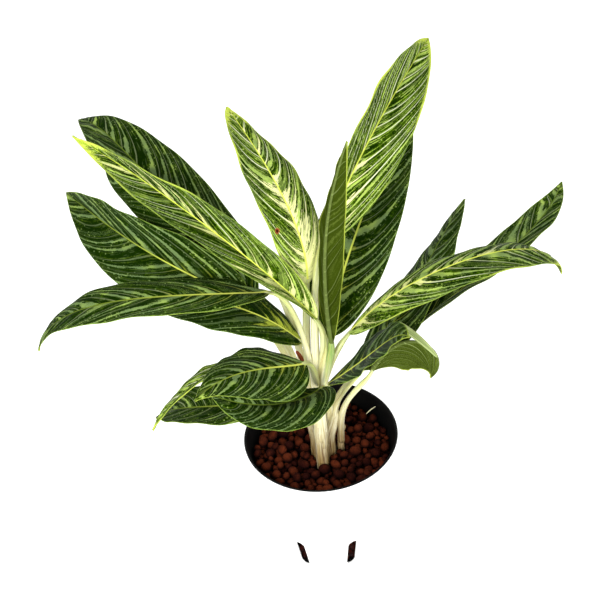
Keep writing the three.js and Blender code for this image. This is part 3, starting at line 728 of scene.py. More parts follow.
def striped_face():
    """The upper face's colour and relief: dark green with fine stripes, silvery bands, light vein
    lines, dots, cream spreading from the midrib, the midrib itself and a light margin."""
    inputs = {**BLADE_FACE, "Spot": "Vector"}
    tree, nodes, given, results = new_group("striped face", inputs, FACE_RESULTS)
    light, silver, cream = nodes.parts(given["Look"])
    veins = nodes.group(VEINS, {name: given[name] for name in ("Vein", "Blade", "Seed")})
    flat = flattened(nodes, given["Blade"])
    cloud = nodes.noise(flat, scale=CLOUD_SCALE)
    mottle = nodes.noise(flat, scale=MOTTLE_SCALE, detail=3.0, roughness=0.65)
    near_base = nodes.ease(given["Tip"], 0.55, 0.05)
    near_tip = nodes.ease(given["Tip"], 0.72, 1.0)
    ends = nodes.times(nodes.scaled(near_tip, 2.0, near_base), cream)
    lit = nodes.swayed(light, cloud, 1.2)
    lit = nodes.scaled(ends, 0.4, lit)
    ground = nodes.swayed(lit, mottle, 2.2)
    colour = nodes.mix(nodes.ease(ground, 0.2, 1.6), DARK_GREEN, FRESH_GREEN)
    fine = fine_stripes(nodes, veins)
    fine = nodes.times(fine, nodes.ease(light, 0.15, 0.6, 0.12, 0.7))
    colour = nodes.mix(fine, colour, FINE_STRIPE)
    silvery = nodes.mix(nodes.ease(lit, 0.05, 0.75), DULL_SILVER, BRIGHT_SILVER)
    flecked = nodes.times(flecks(nodes, veins), nodes.ease(light, 0.1, 0.6, 0.15, 0.75))
    colour = nodes.mix(flecked, colour, silvery)
    band = silver_bands(nodes, veins, silver)
    colour = nodes.mix(nodes.times(band, 0.85), colour, silvery)
    dots = speckles(nodes, given["Blade"], veins)
    colour = nodes.mix(nodes.times(dots, 0.6), colour, silvery)
    widest = nodes.ease(light, 0.3, 0.7, 0.050, 0.100)
    narrowest = nodes.ease(light, 0.3, 0.7, 0.030, 0.060)
    line = vein_lines(nodes, veins, widest, narrowest)
    line = nodes.times(line, nodes.ease(light, 0.1, 0.45, 0.3, 1.0))
    lines = nodes.mix(nodes.ease(light, 0.0, 0.7), DULL_LINE, CREAM_LINE)
    yellowing = nodes.ease(nodes.scaled(near_base, -0.02, veins["Reach"]), 0.006, -0.008)
    spread = nodes.mix(nodes.ease(light, 0.15, 0.5), YELLOW_SPREAD, CREAM_SPREAD)
    lines = nodes.mix(yellowing, lines, spread)
    cream = nodes.times(nodes.scaled(near_base, 0.8, 1.0), cream)
    colour = nodes.mix(line, colour, lines)
    colour = nodes.mix(cream_wedges(nodes, veins, cream, near_base), colour, spread)
    border = nodes.swayed(veins["Rim"], veins["Feather"], MARGIN_WAVER)
    patch = nodes.noise(nodes.vector(nodes.times(given["Tip"], 3.0), veins["Half"]), detail=1.0)
    bordered = nodes.times(nodes.ease(light, 0.15, 0.5), nodes.ease(patch, 0.4, 0.6))
    bordered = nodes.maths("MAXIMUM", bordered, nodes.times(near_tip, nodes.ease(cream, 0.05, 0.6)))
    border = nodes.ease(border, nodes.scaled(bordered, MARGIN_MORE, MARGIN_THIN), 0.0001)
    margin = nodes.mix(bordered, DULL_MARGIN, MARGIN)
    colour = nodes.mix(nodes.times(border, 0.9), colour, margin)
    edged = nodes.times(nodes.ease(veins["Rim"], 0.010, 0.001), nodes.ease(cream, 0.1, 0.6))
    yellow_end = nodes.times(nodes.ease(given["Tip"], 0.66, 0.96), edged)
    yellow_end = nodes.swayed(yellow_end, veins["Feather"], 2.2)
    colour = nodes.mix(nodes.ease(yellow_end, 0.45, 0.75, 0.0, 0.8), colour, MARGIN)
    rib = midrib_mask(nodes, veins, given["Tip"], RIB_HALF_WIDTH)
    bright = nodes.mix(given["Tip"], MIDRIB_BASE, MIDRIB_TIP)
    fading = nodes.scaled(given["Tip"], -0.3, nodes.maths("ADD", cream, 0.1))
    colour = nodes.mix(rib, colour, nodes.mix(nodes.ease(fading, 0.0, 0.45), MIDRIB_DULL, bright))
    colour = blemished(nodes, colour, flat, given["Spot"])
    nodes.feed(results["Color"], colour)
    height = nodes.scaled(band, 0.25, nodes.times(veins["Feather"], 0.5))
    nodes.feed(results["Height"], nodes.maths("SUBTRACT", height, nodes.times(line, 0.6)))
    return tree


def blemished(nodes, colour, place, spot):
    """The colour with a rust ring and a dark middle round one spot."""
    wavy = nodes.noise(place, scale=SPOT_SCALE)
    away = nodes.add("ShaderNodeVectorMath", {0: place, 1: spot}, operation="DISTANCE")
    away = nodes.swayed(away.outputs["Value"], wavy, SPOT_WAVER)
    colour = nodes.mix(nodes.ease(away, *SPOT_RING), colour, RUST)
    return nodes.mix(nodes.ease(away, *SPOT_MIDDLE), colour, RUST_DARK)


def midrib_mask(nodes, veins, tip, widest):
    """Mask of the midrib's line, which thins out towards the tip."""
    width = nodes.blend_numbers(tip, widest, RIB_TIP_HALF_WIDTH)
    return nodes.ease(veins["Reach"], nodes.times(width, 1.3), nodes.times(width, 0.7))


def plain_face():
    """The under face's colour and relief: paler olive, with light vein lines and faint bands."""
    tree, nodes, given, results = new_group("plain face", BLADE_FACE, FACE_RESULTS)
    light, silver, _ = nodes.parts(given["Look"])
    veins = nodes.group(VEINS, {name: given[name] for name in ("Vein", "Blade", "Seed")})
    mixed = nodes.swayed(light, veins["Feather"], 3.0)
    colour = nodes.mix(nodes.ease(mixed, -0.3, 1.3), UNDER_DARK, UNDER_LIGHT)
    band = silver_bands(nodes, veins, silver)
    colour = nodes.mix(nodes.times(band, 0.4), colour, UNDER_LIGHT)
    line = vein_lines(nodes, veins, 0.060, 0.028)
    shown = nodes.times(line, nodes.ease(light, -0.2, 0.3, 0.3, 0.9))
    colour = nodes.mix(shown, colour, UNDER_LINE)
    colour = nodes.mix(nodes.ease(veins["Rim"], *UNDER_MARGIN, 0.0, 0.5), colour, MARGIN)
    rib = midrib_mask(nodes, veins, given["Tip"], RIB_UNDER_HALF_WIDTH)
    colour = nodes.mix(nodes.times(rib, 0.25), colour, UNDER_LINE)
    nodes.feed(results["Color"], colour)
    nodes.feed(results["Height"], nodes.maths("ADD", line, nodes.times(veins["Feather"], 0.4)))
    return tree


# ---- materials ----------------------------------------------------------------------------------

BLADE_BUMP = 0.00025  # how high the reliefs of the materials stand
STALK_BUMP = 0.0003
CLAY_BUMP = 0.0005
PLASTIC_BUMP = 0.00004
BROWN_ABOVE = 0.060  # how far above and below the pebbles' level the stalks' browning runs
BROWN_BELOW = 0.004


def blade_material():
    """The striped face on the upper side and the plain one on the under side."""
    material, nodes = new_material("striped blade")
    upper, _ = nodes.mark("upper")
    marks = {name.capitalize(): nodes.mark(name)[0] for name in ("vein", "seed", "tip")}
    marks |= {name.capitalize(): nodes.mark(name)[1] for name in ("blade", "look")}
    above = nodes.group(striped_face(), {**marks, "Spot": nodes.mark("spot")[1]})
    below = nodes.group(plain_face(), marks)
    colour = nodes.mix(upper, below["Color"], above["Color"])
    height = nodes.blend_numbers(upper, below["Height"], above["Height"])
    roughness = nodes.blend_numbers(upper, 0.65, 0.45)
    nodes.shader(base=colour, roughness=roughness, normal=nodes.bump(height, BLADE_BUMP), specular=0.01)
    return material


def stalk_material():
    """Ivory with lengthwise streaks, yellow-green or green towards the blade, brown at the foot."""
    material, nodes = new_material("pale stalk")
    _, stalk = nodes.mark("stalk")
    reach, _ = nodes.mark("reach")
    green, _ = nodes.mark("green")
    broad = nodes.group(STREAKS, {"Stalk": stalk, "Fineness": 1.5})["Streak"]
    fine = nodes.group(STREAKS, {"Stalk": stalk, "Fineness": 4.5})["Streak"]
    colour = nodes.mix(broad, IVORY, PALE_IVORY)
    uneven = nodes.ease(broad, -0.2, 1.0, 0.85, 0.35)
    yellowing = nodes.times(nodes.ease(reach, 0.35, 1.0), uneven)
    colour = nodes.mix(yellowing, colour, YELLOW_GREEN)
    greening = nodes.times(nodes.ease(reach, 0.45, 0.95), green)
    colour = nodes.mix(nodes.times(greening, nodes.ease(fine, -0.6, 0.8)), colour, STALK_GREEN)
    colour = nodes.mix(nodes.ease(fine, 0.3, 0.0, 0.0, 0.55), colour, TAN_STREAK)
    height = nodes.parts(nodes.place())[2]
    low = nodes.ease(height, BED_LEVEL + BROWN_ABOVE, BED_LEVEL - BROWN_BELOW)
    browning = nodes.times(low, nodes.ease(broad, 1.0, 0.0, 0.75, 1.0))
    colour = nodes.mix(browning, colour, TAN_STREAK)
    # darker brown fine streaks low down, from a few centimetres above the pebbles' level into them
    dark_low_streaks = nodes.times(low, nodes.ease(fine, 0.55, 0.1, 0.0, 0.9))
    colour = nodes.mix(dark_low_streaks, colour, SHEATH_BROWN)
    nodes.shader(
        base=colour, roughness=0.5, normal=nodes.bump(fine, STALK_BUMP), specular=0.2,
        subsurface=0.10, radius=(1.0, 0.8, 0.35),
    )
    return material


def streaked_material(name, dark, pale):
    """One colour streaked lengthwise with a paler one."""
    material, nodes = new_material(name)
    _, stalk = nodes.mark("stalk")
    streak = nodes.group(STREAKS, {"Stalk": stalk, "Fineness": 3.0})["Streak"]
    colour = nodes.mix(nodes.ease(streak, -0.2, 1.2), dark, pale)
    nodes.shader(base=colour, roughness=0.8, specular=0.1)
    return material


def clay_material():
    """Matt dark red-brown fired clay, each pebble with its own tint, and a rough pitted skin, with painted
    shade that darkens each pebble's lower side.
    """
    material, nodes = new_material("fired clay")
    tint, _ = nodes.mark("tint")
    skin = nodes.group(GRAIN, {"Place": nodes.place(), "Blotch size": 0.006, "Grain size": 0.0009})
    mixed = nodes.swayed(tint, skin["Blotch"], 0.5)
    colour = nodes.mix(nodes.ease(mixed, 0.0, 1.0), CLAY_DEEP, CLAY_LIGHT)
    colour = nodes.mix(nodes.times(skin["Grain"], 0.35), colour, CLAY_PIT)
    # painted shade: where a point's top mark is low, on a pebble's lower side, the colour is darkened
    # towards CLAY_SHADE
    top, _ = nodes.mark("top")
    colour = nodes.mix(nodes.ease(top, 0.85, -0.2, 0.0, 0.92), colour, CLAY_SHADE)
    nodes.shader(base=colour, roughness=0.85, normal=nodes.bump(skin["Grain"], CLAY_BUMP), specular=0.06)
    return material


def plastic_material(name, base, worn, roughness, specular):
    """Moulded plastic with a faint cloud of wear and a very fine moulding grain."""
    material, nodes = new_material(name)
    skin = nodes.group(GRAIN, {"Place": nodes.place(), "Blotch size": 0.03, "Grain size": 0.0012})
    colour = nodes.mix(nodes.times(skin["Blotch"], 0.6), base, worn)
    rough = nodes.blend_numbers(skin["Blotch"], roughness, roughness + 0.12)
    relief = nodes.bump(skin["Grain"], PLASTIC_BUMP)
    nodes.shader(base=colour, roughness=rough, normal=relief, specular=specular)
    return material


VEINS = lateral_veins()
STREAKS = lengthwise_streaks()
GRAIN = grain()
BLADE = blade_material()
STALK = stalk_material()
STRAW = streaked_material("dry straw", IVORY, PALE_IVORY)
DRY = streaked_material("dry sheath", RUST_DARK, RUST)
ROLLED = streaked_material("rolled margin", ROLLED_OLIVE, ROLLED_PALE)
CLAY = clay_material()
WHITE_PLASTIC = plastic_material("white plastic", POT_WHITE, POT_WHITE_WORN, 0.32, 0.5)
BLACK_PLASTIC = plastic_material("black plastic", POT_BLACK, POT_BLACK_WORN, 0.5, 0.12)

# ---- pot ----------------------------------------------------------------------------------------

SECTOR = math.pi / SLOT_COUNT  # half the turn that one slot's part of the wall takes
PATCH_ACROSS = 16
PATCH_UP = 22
PATCH_STEPS = 5
PATCH_CROWDING = 1.5  # how far its rows crowd towards the slot
BAND_LOW = 0.0033  # the patched part of the wall, from here up to the next
BAND_HIGH = 0.052
WHITE_SIDE, BLACK_SIDE = 0, 1  # the pot's materials by number
POT_EDGE = math.radians(35)  # an edge sharper than this stays sharp


def side_radius(z):
    """The outside of the wall at a height."""
    return FOOT_RADIUS + SIDE_SLOPE * z


def slot_middle(index):
    """The turn at which a slot stands."""
    return FRONT + SLOT_TURN + (index + 0.5) * 2 * SECTOR


def slot_patch():
    """One sector of the wall round its slot, as turns from the slot's middle and heights. Rows run
    from the slot's outline out to the sector's edge, closer together near the slot, and each row
    goes up the right side, over the top to the left, down the left side and back along the bottom."""
    up = np.arange(PATCH_UP) / PATCH_UP
    over = np.arange(PATCH_ACROSS) / PATCH_ACROSS
    side, flat = np.ones(PATCH_UP), np.ones(PATCH_ACROSS)
    edge_turn = SECTOR * np.concatenate([side, 1 - 2 * over, -side, 2 * over - 1])
    rise = (BAND_HIGH - BAND_LOW) * up
    edge_z = np.concatenate([BAND_LOW + rise, BAND_HIGH * flat, BAND_HIGH - rise, BAND_LOW * flat])
    half = SLOT_WIDTH / 2
    low, high = SLOT_BOTTOM + half, SLOT_TOP - half
    bow = math.pi * over
    slot_x = half * np.concatenate([side, np.cos(bow), -side, -np.cos(bow)])
    rise = (high - low) * up
    slot_z = np.concatenate([low + rise, high + half * np.sin(bow), high - rise, low - half * np.sin(bow)])
    share = np.linspace(0, 1, PATCH_STEPS + 1)[:, None] ** PATCH_CROWDING
    turn = (1 - share) * slot_x / side_radius(slot_z) + share * edge_turn
    return turn, (1 - share) * slot_z + share * edge_z


def wall_sheet(turn, z, inset):
    """Points of the cone that the wall follows, inset towards the axis."""
    return around_axis(side_radius(z) - inset, turn, z)


def turned_sheet(profile):
    """A profile of (radius, height) points carried round the axis, in line with the patches."""
    turn = FRONT + SLOT_TURN + SECTOR * np.arange(SLOT_COUNT * PATCH_ACROSS) * 2 / PATCH_ACROSS
    radius, z = np.array(profile).T[..., None]
    return around_axis(radius, turn, z)


def make_pot():
    """The wall, floor and lip: turned sheets, with six patched sectors where the slots go through."""
    lip_bottom = POT_HEIGHT - LIP_HEIGHT
    inside_top = side_radius(POT_HEIGHT) - WALL
    rising = [(side_radius(z), z) for z in np.linspace(BAND_HIGH, lip_bottom, 6)]
    lip = [
        (side_radius(lip_bottom) + LIP_PROUD, lip_bottom + LIP_PROUD),
        (RIM_RADIUS, POT_HEIGHT - RIM_BEVEL),
    ]
    rim = [lip[-1], (RIM_RADIUS - RIM_BEVEL, POT_HEIGHT), (inside_top + RIM_BEVEL, POT_HEIGHT)]
    falling = [(inside_top, POT_HEIGHT - RIM_BEVEL), *[(r - WALL, z) for r, z in rising[::-1]]]
    underside = [
        (0, 0), (side_radius(0) - FOOT_BEVEL, 0), (side_radius(FOOT_BEVEL), FOOT_BEVEL),
        (side_radius(BAND_LOW), BAND_LOW),
    ]
    floor = [(side_radius(BAND_LOW) - WALL, BAND_LOW), (side_radius(FLOOR) - WALL, FLOOR), (0, FLOOR)]
    sheets = [
        (turned_sheet(underside), WHITE_SIDE), (turned_sheet(rising + lip), WHITE_SIDE),
        (turned_sheet(rim + falling), BLACK_SIDE), (turned_sheet(floor), BLACK_SIDE),
    ]
    turn, z = slot_patch()
    for index in range(SLOT_COUNT):
        middle = slot_middle(index)
        outside = wall_sheet(turn + middle, z, 0)
        inside = wall_sheet(turn + middle, z, WALL)
        tunnel = np.stack([inside[0], outside[0]])
        sheets += [(outside, WHITE_SIDE), (inside[::-1], BLACK_SIDE), (tunnel, WHITE_SIDE)]
    points, faces, finishes, offset = [], [], [], 0
    for sheet, finish in sheets:
        quads = grid_quads(*sheet.shape[:2]) + offset
        points.append(sheet.reshape(-1, 3))
        faces += quads.tolist()
        finishes += [finish] * len(quads)
        offset += len(points[-1])
    pot = add_piece(
        "culture_pot", np.concatenate(points), faces, [WHITE_PLASTIC, BLACK_PLASTIC],
        face_materials=finishes, weld=True,
    )
    pot.data.set_sharp_from_angle(angle=POT_EDGE)
    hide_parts("pot")


# ---- clay pebbles -------------------------------------------------------------------------------

PEBBLE_SMALL = 0.0025  # radii
PEBBLE_LARGE = 0.0060
PEBBLE_DEPTH = 0.015  # how far down the loose ones go; a core fills the rest
PEBBLE_TOP = 0.0025  # how far the highest middles lie above the bed's level
PEBBLE_TRIES = 90
PEBBLE_CLEARANCE = 0.0004
PEBBLE_NESTLE = 0.93  # how near two middles come when they touch, against both radii
STEM_NESTLE = 0.85
OUT_OF_REACH = 1.0  # a height that no pebble is left at
PEBBLE_LEAST = (1.0, 0.86, 0.76)  # how far a pebble is stretched on its axes, and how much more
PEBBLE_MORE = (0.16, 0.14, 0.14)
DENT = 0.055  # how deep each wave dents a pebble, against its radius
DENT_WAVES = 2.6
SLOT_ROWS = 6  # pebbles behind each slot, in rows from the first height up
SLOT_ROW_LOW = 0.008
SLOT_ROW_STEP = 0.0078
SLOT_PEBBLE = (0.0042, 0.0050)  # radii
CORE_DROP = 0.012
CORE_SIDES = 72
CORE_ROWS = 18
CORE_BEHIND_SLOTS = 0.0085  # how far it keeps from the wall
CORE_ABOVE_SLOTS = 0.0022
CORE_LUMPS = 0.0011


def settle_pebbles(random):
    """Middles and radii of loose pebbles. Each one is dropped on many random spots, clear of the wall
    and the stems, and stays on the spot where it comes to rest lowest."""
    floor_z = BED_LEVEL - PEBBLE_DEPTH
    feet = np.array([(*shoot.foot, shoot.radius) for shoot in SHOOTS.values()])
    placed = np.zeros((0, 4))
    while True:
        radius = between((PEBBLE_SMALL, PEBBLE_LARGE), random.random() ** 1.5)
        turn = random.random(PEBBLE_TRIES) * 2 * math.pi
        wall = side_radius(BED_LEVEL - PEBBLE_DEPTH / 2) - WALL - PEBBLE_CLEARANCE - radius
        distance = wall * np.sqrt(random.random(PEBBLE_TRIES))
        spot = np.stack([distance * np.cos(turn), distance * np.sin(turn)], axis=-1)
        height = np.full(PEBBLE_TRIES, floor_z)
        if len(placed):
            apart = np.linalg.norm(spot[:, None] - placed[None, :, :2], axis=-1)
            touch = PEBBLE_NESTLE * (radius + placed[:, 3])
            stands = placed[:, 2] + np.sqrt(np.maximum(touch**2 - apart**2, 0))
            height = np.maximum(height, np.where(apart < touch, stands, floor_z).max(axis=1))
        to_foot = np.linalg.norm(spot[:, None] - feet[None, :, :2], axis=-1) - feet[:, 2]
        height[(to_foot < STEM_NESTLE * radius).any(axis=1)] = OUT_OF_REACH
        lowest = np.argmin(height)
        if height[lowest] > BED_LEVEL + PEBBLE_TOP:
            return placed
        placed = np.vstack([placed, [*spot[lowest], height[lowest], radius]])


def round_shape():
    """A ball of 80 triangles: its points and its faces."""
    ball = bmesh.new()
    bmesh.ops.create_icosphere(ball, subdivisions=2, radius=1.0)
    points = np.array([vertex.co for vertex in ball.verts])
    faces = np.array([[vertex.index for vertex in face.verts] for face in ball.faces])
    ball.free()
    return points, faces


def make_pebbles():
    """Every pebble is the same ball, stretched on three axes, dented by three slow waves, turned at
    random and moved to its place."""
    random = np.random.default_rng(5)
    placed = np.vstack([settle_pebbles(random), pebbles_behind_slots(random)])
    ball, triangles = round_shape()
    count = len(placed)
    waves = unit(random.normal(size=(count, 3, 3))) * DENT_WAVES
    phases = random.random((count, 3, 1)) * 2 * math.pi
    dents = 1 + DENT * np.sin(waves @ ball.T + phases).sum(axis=1)
    stretch = np.array(PEBBLE_LEAST) + np.array(PEBBLE_MORE) * random.random((3, count)).T
    shapes = ball[None] * dents[..., None] * stretch[:, None]
    turns, _ = np.linalg.qr(random.normal(size=(count, 3, 3)))
    shapes = np.einsum("nij,nkj->nki", turns, shapes) * placed[:, None, 3:4] + placed[:, None, :3]
    faces = triangles[None] + (np.arange(count) * len(ball))[:, None, None]
    flipped = np.linalg.det(turns) < 0
    faces[flipped] = faces[flipped][..., ::-1]
    tint = np.repeat(random.random(count), len(ball))
    # each point's height on its pebble against its radius; the clay material paints shade on the low side
    # from it
    top = (shapes[..., 2] - placed[:, None, 2]) / placed[:, None, 3]
    pebbles = add_piece(
        "loose_pebbles", shapes, faces.reshape(-1, 3).tolist(), [CLAY],
        marks={"tint": tint, "top": top},
    )
    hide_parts("clay_pebbles")


def pebbles_behind_slots(random):
    """Rows of two and three pebbles by turns behind each slot, against the inside of the wall."""
    rows = []
    for index in range(SLOT_COUNT):
        middle = slot_middle(index)
        for level in range(SLOT_ROWS):
            z = SLOT_ROW_LOW + SLOT_ROW_STEP * level
            for place in ((-0.5, 0.5), (-1, 0, 1))[level % 2]:
                radius = between(SLOT_PEBBLE, random.random())
                reach = side_radius(z) - WALL - PEBBLE_CLEARANCE - 1.06 * radius
                turn = middle + 0.2 * place + 0.05 * (random.random() - 0.5)
                lifted = z + 0.002 * random.random()
                rows.append((reach * math.cos(turn), reach * math.sin(turn), lifted, radius))
    return np.array(rows)


def make_pebble_core():
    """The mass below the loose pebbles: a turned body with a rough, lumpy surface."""
    turn = np.linspace(0, 2 * math.pi, CORE_SIDES, endpoint=False)
    low, top = FLOOR + 0.0005, BED_LEVEL - CORE_DROP
    z = np.concatenate([[low], np.linspace(low, top, CORE_ROWS), [top]])[:, None]
    radius = side_radius(z) - WALL - np.where(z < BAND_HIGH, CORE_BEHIND_SLOTS, CORE_ABOVE_SLOTS)
    lumps = CORE_LUMPS * np.sin(9 * turn + 700 * z) * np.cos(5 * turn - 420 * z)
    radius[[0, -1]] *= 0.3
    lumps[[0, -1]] = 0
    rings = around_axis(radius + lumps, turn, z)
    points, faces = capped_tube(rings)
    # a top of -0.3 paints nearly the whole core in the clay's painted shade, darker than the loose pebbles
    marks = {"tint": np.full(len(points), 0.25), "top": np.full(len(points), -0.3)}
    add_piece("packed_pebbles", points, faces, [CLAY], marks=marks)


# ---- stems --------------------------------------------------------------------------------------

STEM_BELOW = 0.020
STEM_STRAIGHT = 0.012
STEM_TAPER = 0.22
STEM_ROWS = 70
STEM_SIDES = 48
STEM_ROUNDING = 0.16  # the part of its height over which its top rounds off
SHEATH_STEP = 0.09  # how far a sheath's edge stands out, against the stem's radius
SHEATH_EDGES = 3
SHEATH_WINDING = (18, 30)  # radians to the metre
ROOT_DEPTH = 0.020  # how far below the stem's top the petioles leave it
STREAK_DRAWING = 6  # one metre along a stalk against the radius that stands for the way round it


def stem_middle(shoot, z):
    """The stem's line: upright out of the pebbles, then easing over to its lean at the top."""
    share = smooth_step(z, BED_LEVEL + STEM_STRAIGHT, shoot.top)[..., None]
    middle = np.array(shoot.foot) + share * np.array(shoot.lean)
    return np.concatenate([middle, np.asarray(z)[..., None]], axis=-1)


def make_stem(name, shoot, seed):
    """A tapering tube wrapped in sheaths: the radius steps down at each sheath's edge, and the edges
    wind slowly round the stem."""
    random = np.random.default_rng(seed)
    z = np.linspace(BED_LEVEL - STEM_BELOW, shoot.top, STEM_ROWS)[:, None]
    turn = np.linspace(0, 2 * math.pi, STEM_SIDES, endpoint=False)[None]
    share = (z - BED_LEVEL) / (shoot.top - BED_LEVEL)
    rounded = np.sqrt(np.clip((1.02 - share) / STEM_ROUNDING, 0.02, 1))
    radius = shoot.radius * (1 - STEM_TAPER * np.clip(share, 0, 1)) * rounded
    wrap = np.zeros_like(z + turn)
    for edge in range(SHEATH_EDGES):
        start = 2 * math.pi * (edge + 0.6 * random.random()) / SHEATH_EDGES
        winding = between(SHEATH_WINDING, random.random())
        wound = (turn - start - winding * (z - BED_LEVEL)) / (2 * math.pi)
        wrap += SHEATH_STEP * (0.5 - wound % 1.0)
    middle = stem_middle(shoot, z[:, 0])
    rings = middle[:, None] + around_axis(radius * (1 + wrap), turn, 0)
    points, faces = capped_tube(rings)
    marks = stalk_marks(turn[0], z[:, 0], np.clip(share[:, 0], 0, 1) * 0.3, 0.0, seed)
    stem = add_piece(f"stem_{name}", points, faces, [STALK], marks=marks)
    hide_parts(f"shoot_{name}")


def stalk_marks(turn, along, reach, green, seed):
    """Marks of a capped tube: where each point is round the stalk and along it, how far it is on the
    way to the blade, and how green the stalk turns. The last two points are the end middles."""
    round_it = around_axis(1.0, turn[None], along[:, None] * STREAK_DRAWING + seed)
    ends = round_it[[0, -1]].mean(axis=1)
    reaches = np.concatenate([np.repeat(reach, len(turn)), reach[[0, -1]]])
    return {
        "stalk": np.concatenate([round_it.reshape(-1, 3), ends]),
        "reach": reaches,
        "green": np.full(len(reaches), green),
    }


# ---- petioles -----------------------------------------------------------------------------------

PETIOLE_RISE = 0.5  # the curve's handles, up from its root and back from the blade, against its reach
PETIOLE_LEAD = 0.18
PETIOLE_SIDES = 24
PETIOLE_MID = (0.0036, 0.0029)  # half width and half depth along the free stretch
PETIOLE_END = (0.0027, 0.0023)
PETIOLE_OVERLAP = 0.005  # how far it runs on under the blade
PETIOLE_FREE_ROWS = 56
PETIOLE_HELD_ROWS = 14
PETIOLE_ASIDE = 0.4  # how far it keeps from the stem's line, against the stem's radius
SHEATH_LOWEST = 0.006  # above the pebbles' level
SHEATH_ROOM = 0.014
SHEATH_EASE = 0.012
SHEATH_SHAPE = (1.0, 0.66)  # half width and half depth of a sheath, against the stem's radius
SHEATH_HUG = 0.93
STALK_CHANNEL = 0.45  # how deep the channel is, against half the stalk's depth
END_FLATNESS = 0.72  # how far the upper side is flattened where it meets the blade


def blade_frame(leaf, t):
    """Directions at t, from 0 at the blade's start to 1 at its tip: along the midrib, to its left
    and out of the upper face."""
    angles = (leaf.heading, leaf.climb, leaf.roll)
    heading, climb, roll = (np.radians(run(values, t))[..., None] for values in angles)
    flat = np.zeros_like(heading)
    ahead = np.concatenate([np.cos(heading), np.sin(heading), flat], axis=-1)
    along = np.cos(climb) * ahead + np.sin(climb) * UP
    level = np.concatenate([-np.sin(heading), np.cos(heading), flat], axis=-1)
    upright = np.cross(along, level)
    left = np.cos(roll) * level + np.sin(roll) * upright
    out = np.cos(roll) * upright - np.sin(roll) * level
    return along, left, out


def petiole_path(leaf, shoot, low_share):
    """Points from the petiole's sheathing foot on the stem to the blade, and how far along its free
    stretch each one is, below 0 on the stem. It keeps to the side of the stem that it leaves by."""
    root = stem_middle(shoot, np.array([shoot.top - ROOT_DEPTH]))[0]
    start = np.array(leaf.start)
    along, _, out = (vectors[0] for vectors in blade_frame(leaf, np.zeros(1)))
    reach = np.linalg.norm(start - root)
    handles = [root, root + reach * PETIOLE_RISE * UP, start - along * reach * PETIOLE_LEAD, start]
    s = np.linspace(0, 1, PETIOLE_FREE_ROWS)[:, None]
    weights = ((1 - s) ** 3, 3 * s * (1 - s) ** 2, 3 * s**2 * (1 - s), s**3)
    free = sum(weight * handle for weight, handle in zip(weights, handles))
    aside = unit((start - root) * (1, 1, 0))
    aside_by = aside * PETIOLE_ASIDE * shoot.radius
    free = free + aside_by * (1 - smooth_step(s, 0, 0.3))
    low = BED_LEVEL + SHEATH_LOWEST + low_share * (root[2] - BED_LEVEL - SHEATH_ROOM)
    z = np.linspace(low, root[2], PETIOLE_HELD_ROWS)[:-1]
    leaving = smooth_step(z, low - SHEATH_EASE, low + SHEATH_EASE)[:, None]
    held = stem_middle(shoot, z) + aside_by * leaving
    beyond = start + along * PETIOLE_OVERLAP
    path = np.vstack([held, free, beyond])
    share = np.concatenate([(z - root[2]) / (root[2] - low), s[:, 0], [1.04]])
    return path, share, aside, out


def make_petiole(name, leaf, low_share, seed):
    """A section carried along the path: a broad sheath hugging the stem, narrowing to an oval stalk
    with a shallow channel on its upper side, which is flattened to the blade at its end."""
    shoot = SHOOTS[leaf.shoot]
    path, share, aside, out = petiole_path(leaf, shoot, low_share)
    tangent = unit(np.gradient(path, axis=0))
    blend = smooth_step(share, 0.1, 0.9)[:, None]
    upper = unit((1 - blend) * -aside + blend * out)
    lateral = unit(np.cross(upper, tangent))
    normal = np.cross(tangent, lateral)
    loose = smooth_step(share, -0.2, 0.45)
    ending = smooth_step(share, 0.75, 1.0)
    sheath = np.clip(np.array(SHEATH_SHAPE) * shoot.radius * SHEATH_HUG, PETIOLE_MID, None)
    size = (1 - loose)[:, None] * sheath + loose[:, None] * np.array(PETIOLE_MID)
    size = (1 - ending)[:, None] * size + ending[:, None] * np.array(PETIOLE_END)
    size *= np.clip(1.0 - 14 * (share - 1.0), 0.35, 1.0)[:, None]
    size *= smooth_step(share, -1.25, -0.75)[:, None] * 0.5 + 0.5
    turn = np.linspace(0, 2 * math.pi, PETIOLE_SIDES, endpoint=False)
    hollow = np.exp(-(((turn - math.pi / 2) / 0.5) ** 2))
    channel = STALK_CHANNEL * (1 - ending)[:, None] * hollow
    flat = np.where(np.sin(turn) > 0, (1 - END_FLATNESS * ending)[:, None], 1.0)
    sideways = size[:, :1] * np.cos(turn)
    rise = size[:, 1:] * np.sin(turn) * flat * (1 - channel)
    rings = path[:, None] + sideways[..., None] * lateral[:, None] + rise[..., None] * normal[:, None]
    points, faces = capped_tube(rings)
    stride = np.linalg.norm(np.diff(path, axis=0), axis=1)
    along = np.concatenate([[0], np.cumsum(stride)])
    marks = stalk_marks(turn, along, np.clip(0.3 + 0.7 * share, 0, 1), leaf.green, seed)
    add_piece(name.replace("leaf", "petiole"), points, faces, [STALK], marks=marks)


# ---- small strips -------------------------------------------------------------------------------

STRIP_SIDES = 16
STRIP_ROWS = 25
STRIP_FACING = (0.0, -0.64, 0.77)  # the way their flat sides look


